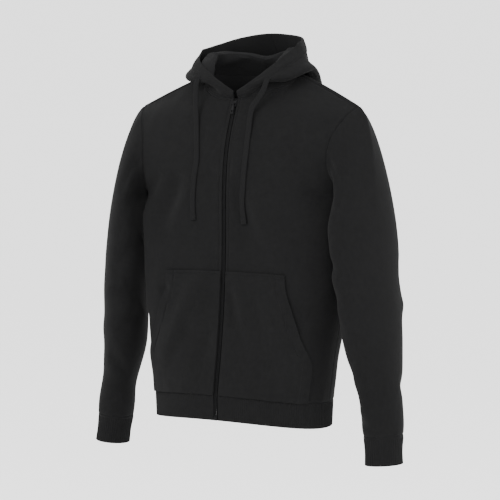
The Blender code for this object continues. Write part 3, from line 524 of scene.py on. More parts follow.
def row_shares(neck_steps):
    """Where the columns of a half panel stand, from its middle (0) to its side or armhole (1)."""
    neck = np.linspace(0, NECK_SHARE, neck_steps * FINE + 1)
    return np.concatenate([neck, np.linspace(NECK_SHARE, 1, SHOULDER_STEPS * FINE + 1)[1:]])


def cross_row(row, shares, first_x):
    """One row of a half panel: a part of a squarish quarter round from its middle to its edge."""
    across = np.sin(shares * math.asin(row.roundness)) / row.roundness

    def rounded(x):
        return (1 - np.clip(row.roundness * x, 0, 1) ** row.power) ** (1 / row.power)

    bend = (rounded(across) - rounded(1.0)) / (rounded(0.0) - rounded(1.0))
    x = first_x + (row.edge_x - first_x) * across
    y = row.edge_y + (row.centre_y - row.edge_y) * bend
    z = row.centre_z + (row.edge_z - row.centre_z) * across**2
    return np.stack([x, y, z], axis=1)


def side_seam():
    keys = [[(row.edge_x, row.edge_y, row.edge_z)] for row in SIDE_ROWS]
    return loft(keys, [row.steps for row in SIDE_ROWS[:-1]])[:, 0]


def half_panel(rows, neck, shares, first_x):
    """Half a front or back, whose top is its part of the neck, by angle, and the shoulder seam."""
    top = np.concatenate([[neck_point(angle) for angle in neck], shoulder_seam()[1:]])
    keys = [cross_row(row, shares, first_x) for row in rows] + [top]
    grid = loft(keys, [row.steps for row in rows])
    side = side_seam()
    # The side seam is shared, so the cells beside it follow it in gently.
    move = side - grid[: len(side), -1]
    grid[: len(side)] += move[:, None] * soft_step((shares - 0.6) / 0.4)[None, :, None]
    return grid


def half_front():
    shares = row_shares(NECK_FRONT_STEPS)
    return half_panel(SIDE_ROWS + ARMHOLE_ROWS, neck_angles()[0], shares, ZIP_HALF_GAP)


def half_back():
    """From the middle of the back to the left side."""
    rows = tuple(
        row._replace(centre_y=centre.y, centre_z=centre.z, power=BACK_POWER)
        for row, centre in zip(SIDE_ROWS, BACK_CENTRE)
    )
    shares = row_shares(NECK_BACK_STEPS)
    return half_panel(rows + BACK_ARMHOLE_ROWS, neck_angles()[1][::-1], shares, 0.0)


def whole_back():
    half = half_back()
    return np.concatenate([mirrored(half)[:, :0:-1], half], axis=1)


def edge_fade(shape, cells=2.5 * FINE):
    """1 inside a grid, falling to 0 at its edges, so that a fold leaves the seams alone."""
    rows, columns = np.arange(shape[0]), np.arange(shape[1])
    fade_rows = soft_step(np.minimum(rows, rows[::-1]) / cells)
    fade_columns = soft_step(np.minimum(columns, columns[::-1]) / cells)
    return fade_rows[:, None] * fade_columns[None, :]


def line_lift(form, points, start, end, width, depth):
    """How far a fold or crease lifts each point, from the ends of its line on the same flat surface."""
    start = np.array(start)
    line = end - start
    away = points - start
    along = np.clip((away @ line) / (line @ line), 0, 1)
    off = np.linalg.norm(away - along[..., None] * line, axis=-1)
    return form(along, off, width, depth)


def fold_form(along, off, width, depth):
    """A long soft ridge or trough that keeps some of its height at both ends."""
    return depth * np.exp(-((off / width) ** 2)) * (0.35 + 0.65 * np.sin(math.pi * along))


def crease_form(along, off, width, depth):
    """A soft trough or ridge that is deepest a third of the way along and dies out at both ends."""
    rise = np.sin(math.pi * along**0.8) ** 0.7
    return CREASE_STRENGTH * depth * np.exp(-((off / (width * CREASE_WIDTH)) ** 2)) * rise


def panel_lift(form, grid, lines):
    flat = grid[:, :, [0, 2]]
    return sum(line_lift(form, flat, line[:2], line[2:4], line.width, line.depth) for line in lines)


def folded_panel(name, grid, facing):
    lift = panel_lift(fold_form, grid, FOLDS[name]) * edge_fade(grid.shape)
    return grid + grid_normals(grid, facing) * lift[..., None]


def folded_sleeve(name, grid):
    angles = np.arange(grid.shape[1]) * 360 / grid.shape[1]
    rows = np.arange(len(grid))
    fade = soft_step((rows / FINE - 2) / 5) * soft_step(rows[::-1] / FINE / 3)
    lift = np.zeros(grid.shape[:2])
    for fold in SLEEVE_FOLDS[name]:
        round_off = (angles - fold.angle + 180) % 360 - 180
        centre = fold.z + fold.slant * np.sin(np.radians(round_off))
        high = np.exp(-(((grid[:, :, 2] - centre) / fold.half_height) ** 2))
        lift += fold.depth * high * np.exp(-((round_off / fold.reach) ** 2))
    return grid + grid_normals(grid, 1, closed=True) * (lift * fade[:, None])[..., None]


def ring_points(ring, count):
    """A sleeve ring, starting at its inner side and going over the front."""
    turns = np.arange(count) * 2 * math.pi / count
    inner = np.array((-math.cos(TOE_IN), math.sin(TOE_IN), 0))
    front = np.array((-math.sin(TOE_IN), -math.cos(TOE_IN), 0))
    across = np.cos(turns) * ring.half_width
    points = np.array((ring.x, ring.y, ring.z)) + across[:, None] * inner
    points = points + (np.sin(turns) * ring.half_depth)[:, None] * front
    points[:, 2] -= ring.tilt * across
    return points


def sleeve(front, back):
    """The left sleeve, from the armhole edges of the front and the back down to the cuff seam."""
    pit = sum(row.steps for row in SIDE_ROWS[:-1]) * FINE
    armhole = np.concatenate([front[pit:, -1], back[pit:-1, -1][::-1]])[:-1]
    count = len(armhole)
    starts = np.array(SLEEVE_START + SLEEVE_START[:1])
    starts = smooth_values(np.arange(count) * 4 / count, range(5), starts)
    keys = [ring_points(ring, count) for ring in SLEEVE_RINGS]
    first, second = keys[:2]
    away = unit(starts[:, :3]) * starts[:, 3:]
    arrive = unit(second - first) * np.linalg.norm(first - armhole, axis=1, keepdims=True)
    shares = np.arange(CAP_STEPS * FINE) / (CAP_STEPS * FINE)
    cap = [hermite(armhole, first, away, arrive, share) for share in shares]
    return np.concatenate([np.array(cap), loft(keys, [ring.steps for ring in SLEEVE_RINGS[:-1]])])


def cuff(sleeve_grid):
    count = sleeve_grid.shape[1]
    keys = [ring_points(ring, count) for ring in CUFF_RINGS]
    keys[0] = sleeve_grid[-1]
    return loft(keys, [ring.steps for ring in CUFF_RINGS[:-1]])


def waistband(front_left, front_right, back):
    """From the zip round the left side and back to the zip, and from the seam down to the hem."""
    seam = np.concatenate([front_left[0], back[0][::-1][1:], front_right[0][::-1][1:]])
    middle = np.array((0.0, seam[:, 1].mean(), 0.0))
    hem = middle + (seam - middle) * (HEM_SCALE, HEM_SCALE, 1) - (0, 0, WAISTBAND_HEIGHT)
    hem[[0, -1], 0] = seam[[0, -1], 0]
    shares = np.linspace(0, 1, 2 * FINE + 1)[:, None, None]
    return seam + (hem - seam) * shares


def hood_keys(station, base):
    """The key points of the hood's profile at one place round the neck."""
    turn = math.radians(station.angle)
    out = np.array((math.sin(turn), -math.cos(turn), 0.0))
    out_at_back = unit(np.array((math.sin(turn) * 0.5, -math.cos(turn), 0.0)))
    up = np.array((0, 0, 1.0))
    crest = base + np.array((station.crest_side, station.crest_back, station.crest_up))
    fold = base + np.array((station.fold_side, station.fold_back, station.fold_up))
    rim = base + np.array((station.rim_side, station.rim_back, station.rim_up))
    crest_in = crest - out * CREST_ROLL * 0.25 - up * 0.002
    crest_out = crest + out * CREST_ROLL * 0.75
    fold_in = fold - out_at_back * FOLD_ROLL * 0.6
    fold_out = fold + out_at_back * FOLD_ROLL * 0.4 + up * 0.002
    falling = (crest_out + fold_in) / 2 + station.drape * (out + up * 0.6)
    rising = (fold_out + rim) / 2 + station.bulge * out
    folded = np.array([base, crest_in, crest_out, falling, fold_in, fold_out, rising, rim])
    shares = np.linspace(0, 1, len(folded))[:, None]
    plain = base + (rim - base) * shares + np.sin(math.pi * shares) * station.bulge * out
    return plain + (folded - plain) * station.fold_share


def half_hood():
    """The left half of the hood, from the neck seam to the rim."""
    front_angles, back_angles = neck_angles()
    angles = np.concatenate([front_angles, back_angles[1:]])
    stations = np.array([hood_keys(s, np.array(neck_point(s.angle))) for s in HOOD_STATIONS])
    offsets = stations - stations[:, :1]
    # One station beyond the middle of the back, so that the two halves meet without a point.
    offsets = np.concatenate([offsets, mirrored(offsets[-2:-1])])
    places = [station.angle for station in HOOD_STATIONS]
    places.append(360 - places[-2])
    offsets = smooth_values(angles, places, offsets.reshape(len(offsets), -1))
    base = np.array([neck_point(angle) for angle in angles])
    keys = base[:, None] + offsets.reshape(len(angles), -1, 3)
    keys[-1, :, 0] = 0.0
    return loft(keys.transpose(1, 0, 2), HOOD_STEPS)


def slipped(grid):
    """The hood where it lies: free to move everywhere but at the neck seam and where its fold rests."""
    rows = np.arange(len(grid)) / FINE
    free = soft_step(rows / 6) * (1 - 0.9 * np.exp(-(((rows - FOLD_ROW) / 2.5) ** 2)))
    free = free[:, None]
    grid = grid.copy()
    towards_side = np.clip(np.abs(grid[:, :, 0]) / 0.09 - 0.3, 0, 1)
    grid[:, :, 2] += free * HOOD_LEAN * grid[:, :, 0] * towards_side
    grid[:, :, 0] -= free * HOOD_SLIP * grid[:, :, 0] ** 2
    return grid


def lifted(grid):
    """The left arm, held a little higher towards the hand."""
    lift = LEFT_ARM_LIFT * np.clip((-0.30 - grid[:, :, 2]) / 0.42, 0, 1)
    return grid + lift[..., None] * np.array((0, 0, 1.0))


def tucked(grid):
    """The right arm, its elbow a little nearer the body."""
    share = np.clip((-0.34 - grid[:, :, 2]) / 0.33, 0, 1)
    return grid + (RIGHT_ELBOW_IN * np.sin(math.pi * share) ** 2)[..., None] * np.array((1.0, 0, 0))


def zip_path(front, band):
    """The left front's and waistband's edge at the zip, from neck to hem, and the points beside it."""
    edge = np.concatenate([front[::-1, 0], band[1:, 0]])
    beside = np.concatenate([front[::-1, 1], band[1:, 1]])
    edge[0] = edge[0] * 0.5 + edge[1] * 0.5
    beside[0] = beside[0] * 0.5 + beside[1] * 0.5
    return edge, beside


def chain_frames(edge):
    """Points down the middle of the zip, and the direction out of the garment at each."""
    line = edge * (0, 1, 1)
    along = unit(np.gradient(line, axis=0))
    out = np.stack([np.zeros(len(line)), along[:, 2], -along[:, 1]], axis=1)
    out = out * np.sign(-out[:, 1:2])
    return line, along, out


def cut_line(line, out, start, end):
    """The stretch of a line between two distances from its first point."""
    far = distances(line)
    inside = (far > start + 1e-4) & (far < far[-1] - end - 1e-4)
    at = np.concatenate([[start], far[inside], [far[-1] - end]])
    return read_at(at, far, line), read_at(at, far, out)


def place_on_zip(edge, below):
    """A frame on the zip's face: its x across, its y down the zip and its z out of the garment."""
    frames = chain_frames(edge)
    far = distances(frames[0])
    below = below if below >= 0 else far[-1] + below
    place, down, out = (read_at(below, far, values) for values in frames)
    down, out = unit(down), unit(out)
    matrix = Matrix((np.cross(down, out), down, out)).transposed().to_4x4()
    matrix.translation = Vector(place) + Vector(out) * CHAIN_FRONT
    return matrix


def outer_hull(z, y):
    """The tightest curve that stays in front of every y and bends only outward, like a hanging cord."""
    kept = []
    for i in range(len(z)):
        while len(kept) > 1:
            a, b = kept[-2], kept[-1]
            turn = (z[b] - z[a]) * (y[i] - y[a]) - (y[b] - y[a]) * (z[i] - z[a])
            if turn < 0:
                break
            kept.pop()
        kept.append(i)
    return np.interp(-z, -z[kept], y[kept])


# ---------------------------------------------------------------- creases laid into the middle surfaces


def soft_noise(x, y, scale, seed):
    """Smooth uneven values from about -1 to 1, about scale metres from hill to hill."""
    total = np.zeros(np.broadcast(x, y).shape)
    for k in range(6):
        turn = 2.4 * k + seed * 1.7
        pitch = 2 * math.pi / (scale * (0.7 + 0.23 * k))
        total += np.sin((x * math.cos(turn) + y * math.sin(turn)) * pitch + seed * (k + 1) * 2.1)
    return total / 3.4


def gathers(grid, name, edge_row, reach, pitch, depth):
    """Small soft pleats where a panel is gathered into a rib, dying out away from its seam."""
    off = path_distance(grid, 0, edge_row)
    wave = soft_noise(distances(grid[edge_row])[None, :], off * 0.35, pitch, len(name))
    return depth * wave * (np.exp(-((off / reach) ** 2)) * soft_step(off / 0.006))


def creased_panel(name, grid, facing):
    lift = panel_lift(crease_form, grid, CREASES[name]) * near_edges(grid, False, 0.018)
    lift += gathers(grid, name, 0, 0.030, 0.022, 0.0008)
    uneven = soft_noise(grid[:, :, 0], grid[:, :, 2], 0.055, len(name))
    lift += 0.0006 * uneven * near_edges(grid, False, 0.03)
    return grid + grid_normals(grid, facing) * lift[..., None]


def creased_sleeve(name, grid, facing):
    angles = np.arange(grid.shape[1]) * 360 / grid.shape[1]
    lift = np.zeros(grid.shape[:2])
    for crease in ARM_CREASES[name]:
        middle = (crease.from_angle + crease.to_angle) / 2
        turned = (angles - middle + 180) % 360 - 180 + middle
        place = np.stack(np.broadcast_arrays(turned * SLEEVE_DEGREE, grid[:, :, 2]), axis=2)
        start = (crease.from_angle * SLEEVE_DEGREE, crease.from_z)
        end = (crease.to_angle * SLEEVE_DEGREE, crease.to_z)
        lift += line_lift(crease_form, place, start, end, crease.width, crease.depth)
    lift *= near_edges(grid, True, 0.016)
    lift += gathers(grid, name, -1, 0.022, 0.024, 0.0012)
    return grid + grid_normals(grid, facing, closed=True) * lift[..., None]


def eased_start(grid):
    """The hood with the start of its fold eased, beside the throat, where its layers would cross."""
    grid = grid.copy()
    place = np.linspace(0, 1, grid.shape[1])[None, :, None]
    free = soft_step((place - 0.02) / 0.08) * (1 - soft_step((place - 0.21) / 0.12))
    for _ in range(EASING_ROUNDS):
        grid[1:-1] += free * 0.5 * ((grid[:-2] + grid[2:]) / 2 - grid[1:-1])
    return grid


def creased_hood(name, grid, facing):
    grid = eased_start(grid)
    rounds = np.linspace(0, 1, grid.shape[1])[None, :] * HOOD_SIZE[0]
    alongs = np.linspace(0, 1, grid.shape[0])[:, None] * HOOD_SIZE[1]
    place = np.stack(np.broadcast_arrays(rounds, alongs), axis=2)
    lift = np.zeros(grid.shape[:2])
    for crease in HOOD_CREASES[name]:
        start, end = np.array(crease[:2]) * HOOD_SIZE, np.array(crease[2:4]) * HOOD_SIZE
        # These creases keep their own width and depth, so the form's own factors are taken out.
        width, depth = crease.width / CREASE_WIDTH, crease.depth / CREASE_STRENGTH
        lift += line_lift(crease_form, place, start, end, width, depth)
    rim = soft_step(path_distance(grid, 0, -1) / 0.02)
    base = soft_step(path_distance(grid, 0, 0) / 0.02)
    lift = lift * base * rim * soft_step(path_distance(grid, 1, 0) / 0.02)
    lift += 0.0009 * soft_noise(rounds, alongs, 0.045, len(name)) * base * rim
    return grid + grid_normals(grid, facing) * lift[..., None]


# ---------------------------------------------------------------- every middle surface

Cloth = namedtuple("Cloth", "grid facing closed")


@lru_cache(maxsize=1)
def cloth_grids():
    """The creased middle surface of each cloth piece, which way it faces and whether it is a tube."""
    front, back = half_front(), whole_back()
    arm = sleeve(front, half_back())
    grids = {}
    panels = (("front_left", front, -1), ("front_right", mirrored(front), 1), ("back", back, 1))
    for name, grid, facing in panels:
        grid = creased_panel(name, folded_panel(name, grid, facing), facing)
        grids[name] = Cloth(grid, facing, False)
    for side, place, facing in (("left", lifted, 1), ("right", tucked, -1)):
        arm_name, hood_name = f"sleeve_{side}", f"hood_{side}"
        folded, band, hood = folded_sleeve(arm_name, arm), cuff(arm), half_hood()
        if side == "left":
            band = lifted(band)
        else:
            folded, band, hood = mirrored(folded), mirrored(band), mirrored(hood)
        grids[arm_name] = Cloth(creased_sleeve(arm_name, place(folded), facing), facing, True)
        grids[f"cuff_{side}"] = Cloth(band, facing, True)
        grids[hood_name] = Cloth(creased_hood(hood_name, slipped(hood), -facing), -facing, False)
    grids["waistband"] = Cloth(waistband(front, mirrored(front), back), 1, False)
    for side, facing in (("left", -1), ("right", 1)):
        grids[f"pocket_{side}"] = Cloth(pocket_grid(grids[f"front_{side}"].grid, facing), facing, False)
    return grids


def pocket_grid(front, facing):
    """A pocket half on its creased front, standing off a little more in the middle of its opening."""
    panel = front if facing < 0 else mirrored(front)
    normals = grid_normals(panel, -1)
    edge_z, edge_x = np.array(POCKET_EDGE)[::-1].T
    count = POCKET_COLUMNS * FINE
    lift = FLEECE / 2 + LYING_GAP + POCKET_CLOTH / 2 + POCKET_STAND_OFF * np.linspace(0, 1, count + 1)
    middle = []
    for row, row_normals in zip(panel[: POCKET_ROWS * FINE + 1], normals):
        height = row[:, 2].mean()
        reach = smooth_values(np.array([height]), edge_z, edge_x[:, None])[0, 0]
        x = np.linspace(ZIP_HALF_GAP + 0.001, reach, count + 1)
        gape = POCKET_GAPE * math.exp(-(((height - POCKET_GAPE_HEIGHT) / 0.045) ** 2))
        off = lift + gape * soft_step((x - reach + 0.05) / 0.05)
        out = unit(read_at(x, row[:, 0], row_normals))
        middle.append(read_at(x, row[:, 0], row) + out * off[:, None])
    grid = np.array(middle)
    grid[0] += (grid[1] - grid[0]) * 0.15
    return grid if facing < 0 else mirrored(grid)


# ---------------------------------------------------------------- walls

# How an edge of a cloth piece ends: how far in from the edge its wall thins, how thin it gets, and how
# much thicker the turned hem behind it is.
Edge = namedtuple("Edge", "roll thinnest hem_depth hem_height")
SEAM = Edge(0.0016, 0.30, 0.0, 0.0)
FREE = Edge(0.0012, 0.35, 0.0, 0.0)
HEMMED = Edge(0.0014, 0.40, 0.0005, 0.020)
TUNNEL = Edge(0.0018, 0.40, 0.0009, 0.024)
FLAT_SEAM = Edge(0.0007, 0.84, 0.0, 0.0)
EDGES = {
    "front": (FLAT_SEAM, SEAM, FREE, SEAM),
    "back": (FLAT_SEAM, SEAM, SEAM, SEAM),
    "sleeve": (SEAM, FLAT_SEAM),
    "cuff": (FLAT_SEAM, FREE),
    "waistband": (FLAT_SEAM, FREE, FREE, FREE),
    "hood": (SEAM, TUNNEL, FREE, SEAM),
    "pocket": (FLAT_SEAM, HEMMED, FREE, HEMMED),
}
# Points stand close together near an edge, at these distances from it, and this far either side of a
# row of stitches.
FINE_LINES = (0.0, 0.0003, 0.0008, 0.0016, 0.0026, 0.0040, 0.0060)


def line_places(length, pitch, extra=()):
    """Places along a length: close together by both ends and at the extra ones, even between them."""
    inner = np.arange(FINE_LINES[-1] + pitch, length - FINE_LINES[-1] - pitch * 0.6, pitch)
    fixed = list(FINE_LINES) + [length - place for place in FINE_LINES]
    for place in extra:
        fixed += [place - CHANNEL_WIDTH, place, place + CHANNEL_WIDTH]
    inner = [place for place in inner if min(abs(place - other) for other in fixed) > 0.0009]
    return np.unique(np.round(np.clip(inner + fixed, 0, length), 6))


def resampled(grid, places, axis):
    """A grid read again at places along its mean line in one direction."""
    grid = np.swapaxes(grid, 0, axis)
    far = np.concatenate([[0], np.cumsum(np.linalg.norm(np.diff(grid, axis=0), axis=2).mean(axis=1))])
    at = np.interp(places, far, np.arange(len(grid)))
    low = np.minimum(at.astype(int), len(grid) - 2)
    share = (at - low)[:, None, None]
    return np.swapaxes(grid[low] * (1 - share) + grid[low + 1] * share, 0, axis)


def mean_length(grid, axis):
    return np.linalg.norm(np.diff(grid, axis=axis), axis=2).sum(axis=axis).mean()


def edge_wall(off, edge):
    """What an edge does to the wall near it: a share of its thickness, and how much its hem adds."""
    share = np.clip(off / edge.roll, 0, 1)
    thin = edge.thinnest + (1 - edge.thinnest) * np.sqrt(1 - (1 - share) ** 2)
    hem = 0.0
    if edge.hem_height:
        hem = edge.hem_depth * (1 - soft_step((off - edge.hem_height + 0.002) / 0.002))
    return thin, hem


def fold_start_share(round_neck):
    """The hood's wall thins where its fold begins beside the throat, so that its layers don't cross."""
    dip = soft_step((round_neck - 0.05) / 0.08) * (1 - soft_step((round_neck - 0.30) / 0.14))
    return 1 - (1 - FOLD_START_THINNESS) * dip


Wall = namedtuple("Wall", "middle outer inner normals offs closed across along facing")


def build_wall(name, thickness, pitch=0.0038, relief=None, cross_pitch=None):
    """The outer and inner faces of a piece's wall.

    Each of its rows of stitches presses a shallow channel into the cloth. relief may add its own
    height, from the distances across the piece.
    """
    cloth = cloth_grids()[name]
    stitches = TOPSTITCHING.get(kind_of(name), ())
    grid = cloth.grid
    if cloth.closed:
        grid = np.concatenate([grid, grid[:, :1]], axis=1)

    def stitched(axis):
        length = mean_length(grid, axis)
        return [far if edge % 2 == 0 else length - far for edge, far in stitches if edge // 2 == axis]

    extra_rows, extra_columns = stitched(0), stitched(1)
    grid = resampled(grid, line_places(mean_length(grid, 0), pitch, extra_rows), 0)
    width = mean_length(grid, 1)
    if cloth.closed:
        columns = np.linspace(0, width, int(round(width / (cross_pitch or pitch))) + 1)
    elif cross_pitch:
        even = np.arange(0, width, cross_pitch)
        columns = np.unique(np.concatenate([even, np.clip(FINE_LINES, 0, width), [width]]))
    else:
        columns = line_places(width, pitch, extra_columns)
    grid = resampled(grid, columns, 1)
    along, across = path_distance(grid, 0, 0), path_distance(grid, 1, 0)
    if cloth.closed:
        grid, along, across = grid[:, :-1], along[:, :-1], across[:, :-1]
    normals = grid_normals(grid, cloth.facing, cloth.closed)
    offs = edge_distances(grid, cloth.closed)
    share, hem = np.ones(grid.shape[:2]), np.zeros(grid.shape[:2])
    for off, edge in zip(offs, EDGES[kind_of(name)]):
        thin, more = edge_wall(off, edge)
        share = np.minimum(share, thin)
        hem = np.maximum(hem, more)
    if name.startswith("hood"):
        share = share * fold_start_share(across / across.max())
    out = np.zeros(grid.shape[:2])
    for edge, far in stitches:
        out -= CHANNEL_DEPTH * np.exp(-(((offs[edge] - far) / CHANNEL_WIDTH) ** 2))
    if relief is not None:
        out += relief(across)
    half = thickness / 2 * share + hem / 2
    outer = grid + normals * (half + (out + hem / 2) * np.clip(share, 0.2, 1))[..., None]
    inner = grid - normals * half[..., None]
    return Wall(grid, outer, inner, normals, offs, cloth.closed, across, along, cloth.facing)


def wall_mesh(name, wall):
    """A closed mesh from a wall, whose points keep where they lie on the cloth, for the knit."""
    rows, columns = wall.outer.shape[:2]
    count = rows * columns
    points = np.concatenate([wall.outer.reshape(-1, 3), wall.inner.reshape(-1, 3)])
    index = np.arange(count).reshape(rows, columns)
    ring = np.concatenate([index, index[:, :1]], axis=1) if wall.closed else index
    skin = np.stack([ring[:-1, :-1], ring[:-1, 1:], ring[1:, 1:], ring[1:, :-1]], axis=-1)
    skin = skin.reshape(-1, 4)

    def rim(start, end):
        return np.stack([start, end, end + count, start + count], axis=-1)

    rims = [rim(ring[0, 1:], ring[0, :-1]), rim(ring[-1, :-1], ring[-1, 1:])]
    if not wall.closed:
        rims += [rim(index[:-1, 0], index[1:, 0]), rim(index[1:, -1], index[:-1, -1])]
    faces = np.concatenate([skin, skin[:, ::-1] + count] + rims)
    if wall.facing < 0:
        faces = faces[:, ::-1]
    weave = np.stack([wall.across, wall.along, np.zeros_like(wall.along)], axis=-1).reshape(-1, 3)
    return mesh_object(name, points, faces.tolist(), np.concatenate([weave, weave]))


def mesh_object(name, points, faces, weave=None, smooth=35):
    """A smooth mesh object. weave, if given, is kept on its points for the materials to read."""
    mesh = bpy.data.meshes.new(name)
    mesh.from_pydata(np.asarray(points).tolist(), [], faces)
    mesh.validate()
    mesh.shade_smooth()
    mesh.set_sharp_from_angle(angle=math.radians(smooth))
    if weave is not None:
        stored = mesh.attributes.new("weave", "FLOAT_VECTOR", "POINT")
        stored.data.foreach_set("vector", np.asarray(weave).ravel())
    obj = bpy.data.objects.new(name, mesh)
    bpy.context.scene.collection.objects.link(obj)
    return obj


# ---------------------------------------------------------------- stitching


def stitch_line(wall, edge, far, start=0.0, end=1.0):
    """Points and outward directions of a line so far in from an edge, between two shares of it."""
    off, points, normals = wall.offs[edge], wall.outer, wall.normals
    if edge > 1:
        off, points, normals = off.T, np.swapaxes(points, 0, 1), np.swapaxes(normals, 0, 1)
    if edge in (1, 3):
        off, points, normals = off[::-1], points[::-1], normals[::-1]
    line, out = [], []
    for j in range(off.shape[1]):
        k = min(max(int(np.searchsorted(off[:, j], far)), 1), off.shape[0] - 1)
        share = (far - off[k - 1, j]) / max(off[k, j] - off[k - 1, j], 1e-9)
        line.append(points[k - 1, j] * (1 - share) + points[k, j] * share)
        out.append(normals[k, j])
    if wall.closed:
        line.append(line[0])
        out.append(out[0])
    part = slice(int(start * (len(line) - 1)), int(end * (len(line) - 1)) + 1)
    return np.array(line)[part], np.array(out)[part]


def tube_faces(first, rings, sides):
    """The faces of a closed tube with two ends, whose points start at first and go ring by ring."""
    faces = []
    last = first + (rings - 1) * sides
    for ring in range(first, last, sides):
        for turn in range(sides):
            a, b = ring + turn, ring + (turn + 1) % sides
            faces.append((a, b, b + sides, a + sides))
    return faces + [tuple(range(first, first + sides))[::-1], tuple(range(last, last + sides))]


def stitches_on(lines, pitch=None, width=0.00075):
    """Points and faces of a row of thread stitches along each of several (points, directions) lines."""
    pitch = pitch or settings().stitch_pitch
    points, faces = [], []
    for line, out in lines:
        far = distances(line)
        if far[-1] < 2 * pitch:
            continue
        middles = np.arange(pitch / 2, far[-1], pitch)
        ends = [read_at(middles + along * pitch * 0.40, far, line) for along, _, _ in STITCH_RINGS]
        up = unit(read_at(middles, far, out))
        side = np.cross(unit(ends[3] - ends[0]), up)
        rings = []
        for end, (_, height, share) in zip(ends, STITCH_RINGS):
            middle = end + up * (STITCH_SINK + height)
            for turn in range(6):
                angle = turn * math.pi / 3
                across = side * math.cos(angle) * width * share / 2
                rings.append(middle + (across + up * math.sin(angle) * width * 0.4 * share))
        for stitch in range(len(middles)):
            faces += tube_faces(len(points) + stitch * len(rings), len(STITCH_RINGS), 6)
        points += list(np.stack(rings, axis=1).reshape(-1, 3))
    return points, faces


def outward(obj):
    """Turns every face of a piece's closed parts outwards."""
    work = bmesh.new()
    work.from_mesh(obj.data)
    bmesh.ops.recalc_face_normals(work, faces=work.faces)
    work.to_mesh(obj.data)
    work.free()


def stitch_piece(name, lines):
    """Makes all of a piece's stitches as one object."""
    obj = mesh_object(name, *stitches_on(lines))
    outward(obj)
    return dress(obj, thread_material())


# ---------------------------------------------------------------- shader maths


class Value:
    """A number socket that adds Math nodes when it is used in an expression."""

    def __init__(self, nodes, socket):
        self.nodes = nodes
        self.socket = socket

    def math(self, operation, *others, swap=False):
        values = (self, *others)[::-1] if swap else (self, *others)
        return self.nodes.add("Math", {"operation": operation}, dict(enumerate(values)))

    def __add__(self, other):
        return self.math("ADD", other)

    def __sub__(self, other):
        return self.math("SUBTRACT", other)

    def __rsub__(self, other):
        return self.math("SUBTRACT", other, swap=True)

    def __mul__(self, other):
        return self.math("MULTIPLY", other)

    __radd__ = __add__
    __rmul__ = __mul__

    def abs(self):
        return self.math("ABSOLUTE")

    def sine(self):
        return self.math("SINE")

    def clamped(self):
        return self.nodes.add("Clamp", {}, {"Value": self})


class Nodes:
    """The nodes of one material."""

    def __init__(self, name):
        self.material = bpy.data.materials.new(name)
        self.material.use_nodes = True
        self.tree = self.material.node_tree
        self.shader = self.tree.nodes["Principled BSDF"]

    def add(self, kind, options, inputs, output=0):
        """Adds a node, sets its options first and then its inputs, and gives one of its outputs."""
        node = self.tree.nodes.new(f"ShaderNode{kind}")
        for option, value in options.items():
            setattr(node, option, value)
        for key, value in inputs.items():
            self.feed(node.inputs[key], value)
        return Value(self, node.outputs[output])

    def feed(self, socket, value):
        if isinstance(value, Value):
            self.tree.links.new(value.socket, socket)
        else:
            socket.default_value = value

    def place(self):
        return self.add("TexCoord", {}, {}, "Object")

    def weave(self):
        """Where the surface lies across and along its cloth, in metres."""
        vector = self.add("Attribute", {"attribute_name": "weave"}, {}, "Vector")
        first = self.add("SeparateXYZ", {}, {0: vector})
        return [Value(self, socket) for socket in first.socket.node.outputs[:2]]

    def noise(self, vector, scale, detail=2.0, roughness=0.5):
        inputs = {"Vector": vector, "Scale": scale, "Detail": detail, "Roughness": roughness}
        return self.add("TexNoise", {}, inputs, "Fac")

    def mix(self, share, first, second):
        """A colour between two. The node's sockets 6 and 7 are its colours."""
        inputs = {"Factor": share, 6: (*first, 1), 7: (*second, 1)}
        return self.add("Mix", {"data_type": "RGBA"}, inputs, 2)

    def bump(self, height, strength, distance):
        inputs = {"Height": height, "Strength": strength, "Distance": distance}
        return self.add("Bump", {}, inputs, "Normal")

    def finish(self, colour, roughness, normal=None, **fixed):
        self.feed(self.shader.inputs["Base Color"], colour)
        self.feed(self.shader.inputs["Roughness"], roughness)
        if normal:
            self.feed(self.shader.inputs["Normal"], normal)
        for name, value in fixed.items():
            self.shader.inputs[name.replace("_", " ")].default_value = value
        return self.material


def once(make):
    """Makes a material the first time it is asked for, and gives the same one again after that."""
    return lru_cache(maxsize=None)(make)


def lightened(colour, by):
    return tuple(min(channel * by, 1.0) for channel in colour)


def knit_material(name, colour, wale, course, depth, fuzz, sheen):
    """A matt brushed knit: its stitches, a soft fuzz over them, and slightly uneven dye.

    Its face is a fine jersey: columns of small V stitches, wale metres apart and course metres tall.
    """
    nodes = Nodes(name)
    place = nodes.place()
    cloudy = nodes.noise(place, 9.0, 3.0)
    mottled = nodes.noise(place, 150.0, 4.0, 0.65)
    lint = nodes.noise(place, 900.0, 3.0, 0.7)
    across, along = nodes.weave()
    column = (across * (2 * math.pi / wale)).sine()
    row = (along * (2 * math.pi / course) + column.abs() * 0.9 * 2.0).sine()
    height = (column * 0.5 + row * 0.35) * 0.6 + nodes.noise(place, 2600.0, 2.0, 0.7) * fuzz
    shade = (cloudy * 0.5 + mottled * 1.5 + lint * 0.9 - 0.95).clamped()
    return nodes.finish(
        colour=nodes.mix(shade, lightened(colour, 0.72), lightened(colour, 1.30)),
        roughness=nodes.noise(place, 60.0, 2.0) * 0.12 + 0.84,
        normal=nodes.bump(height, 0.55, depth),
        Sheen_Weight=sheen,
        Sheen_Roughness=0.55,
        Specular_IOR_Level=0.05,
    )


@once
def fleece_material():
    colour = settings().fleece_colour
    return knit_material("black_fleece_knit", colour, 0.00125, 0.00095, 0.00025, 0.9, 0.012)


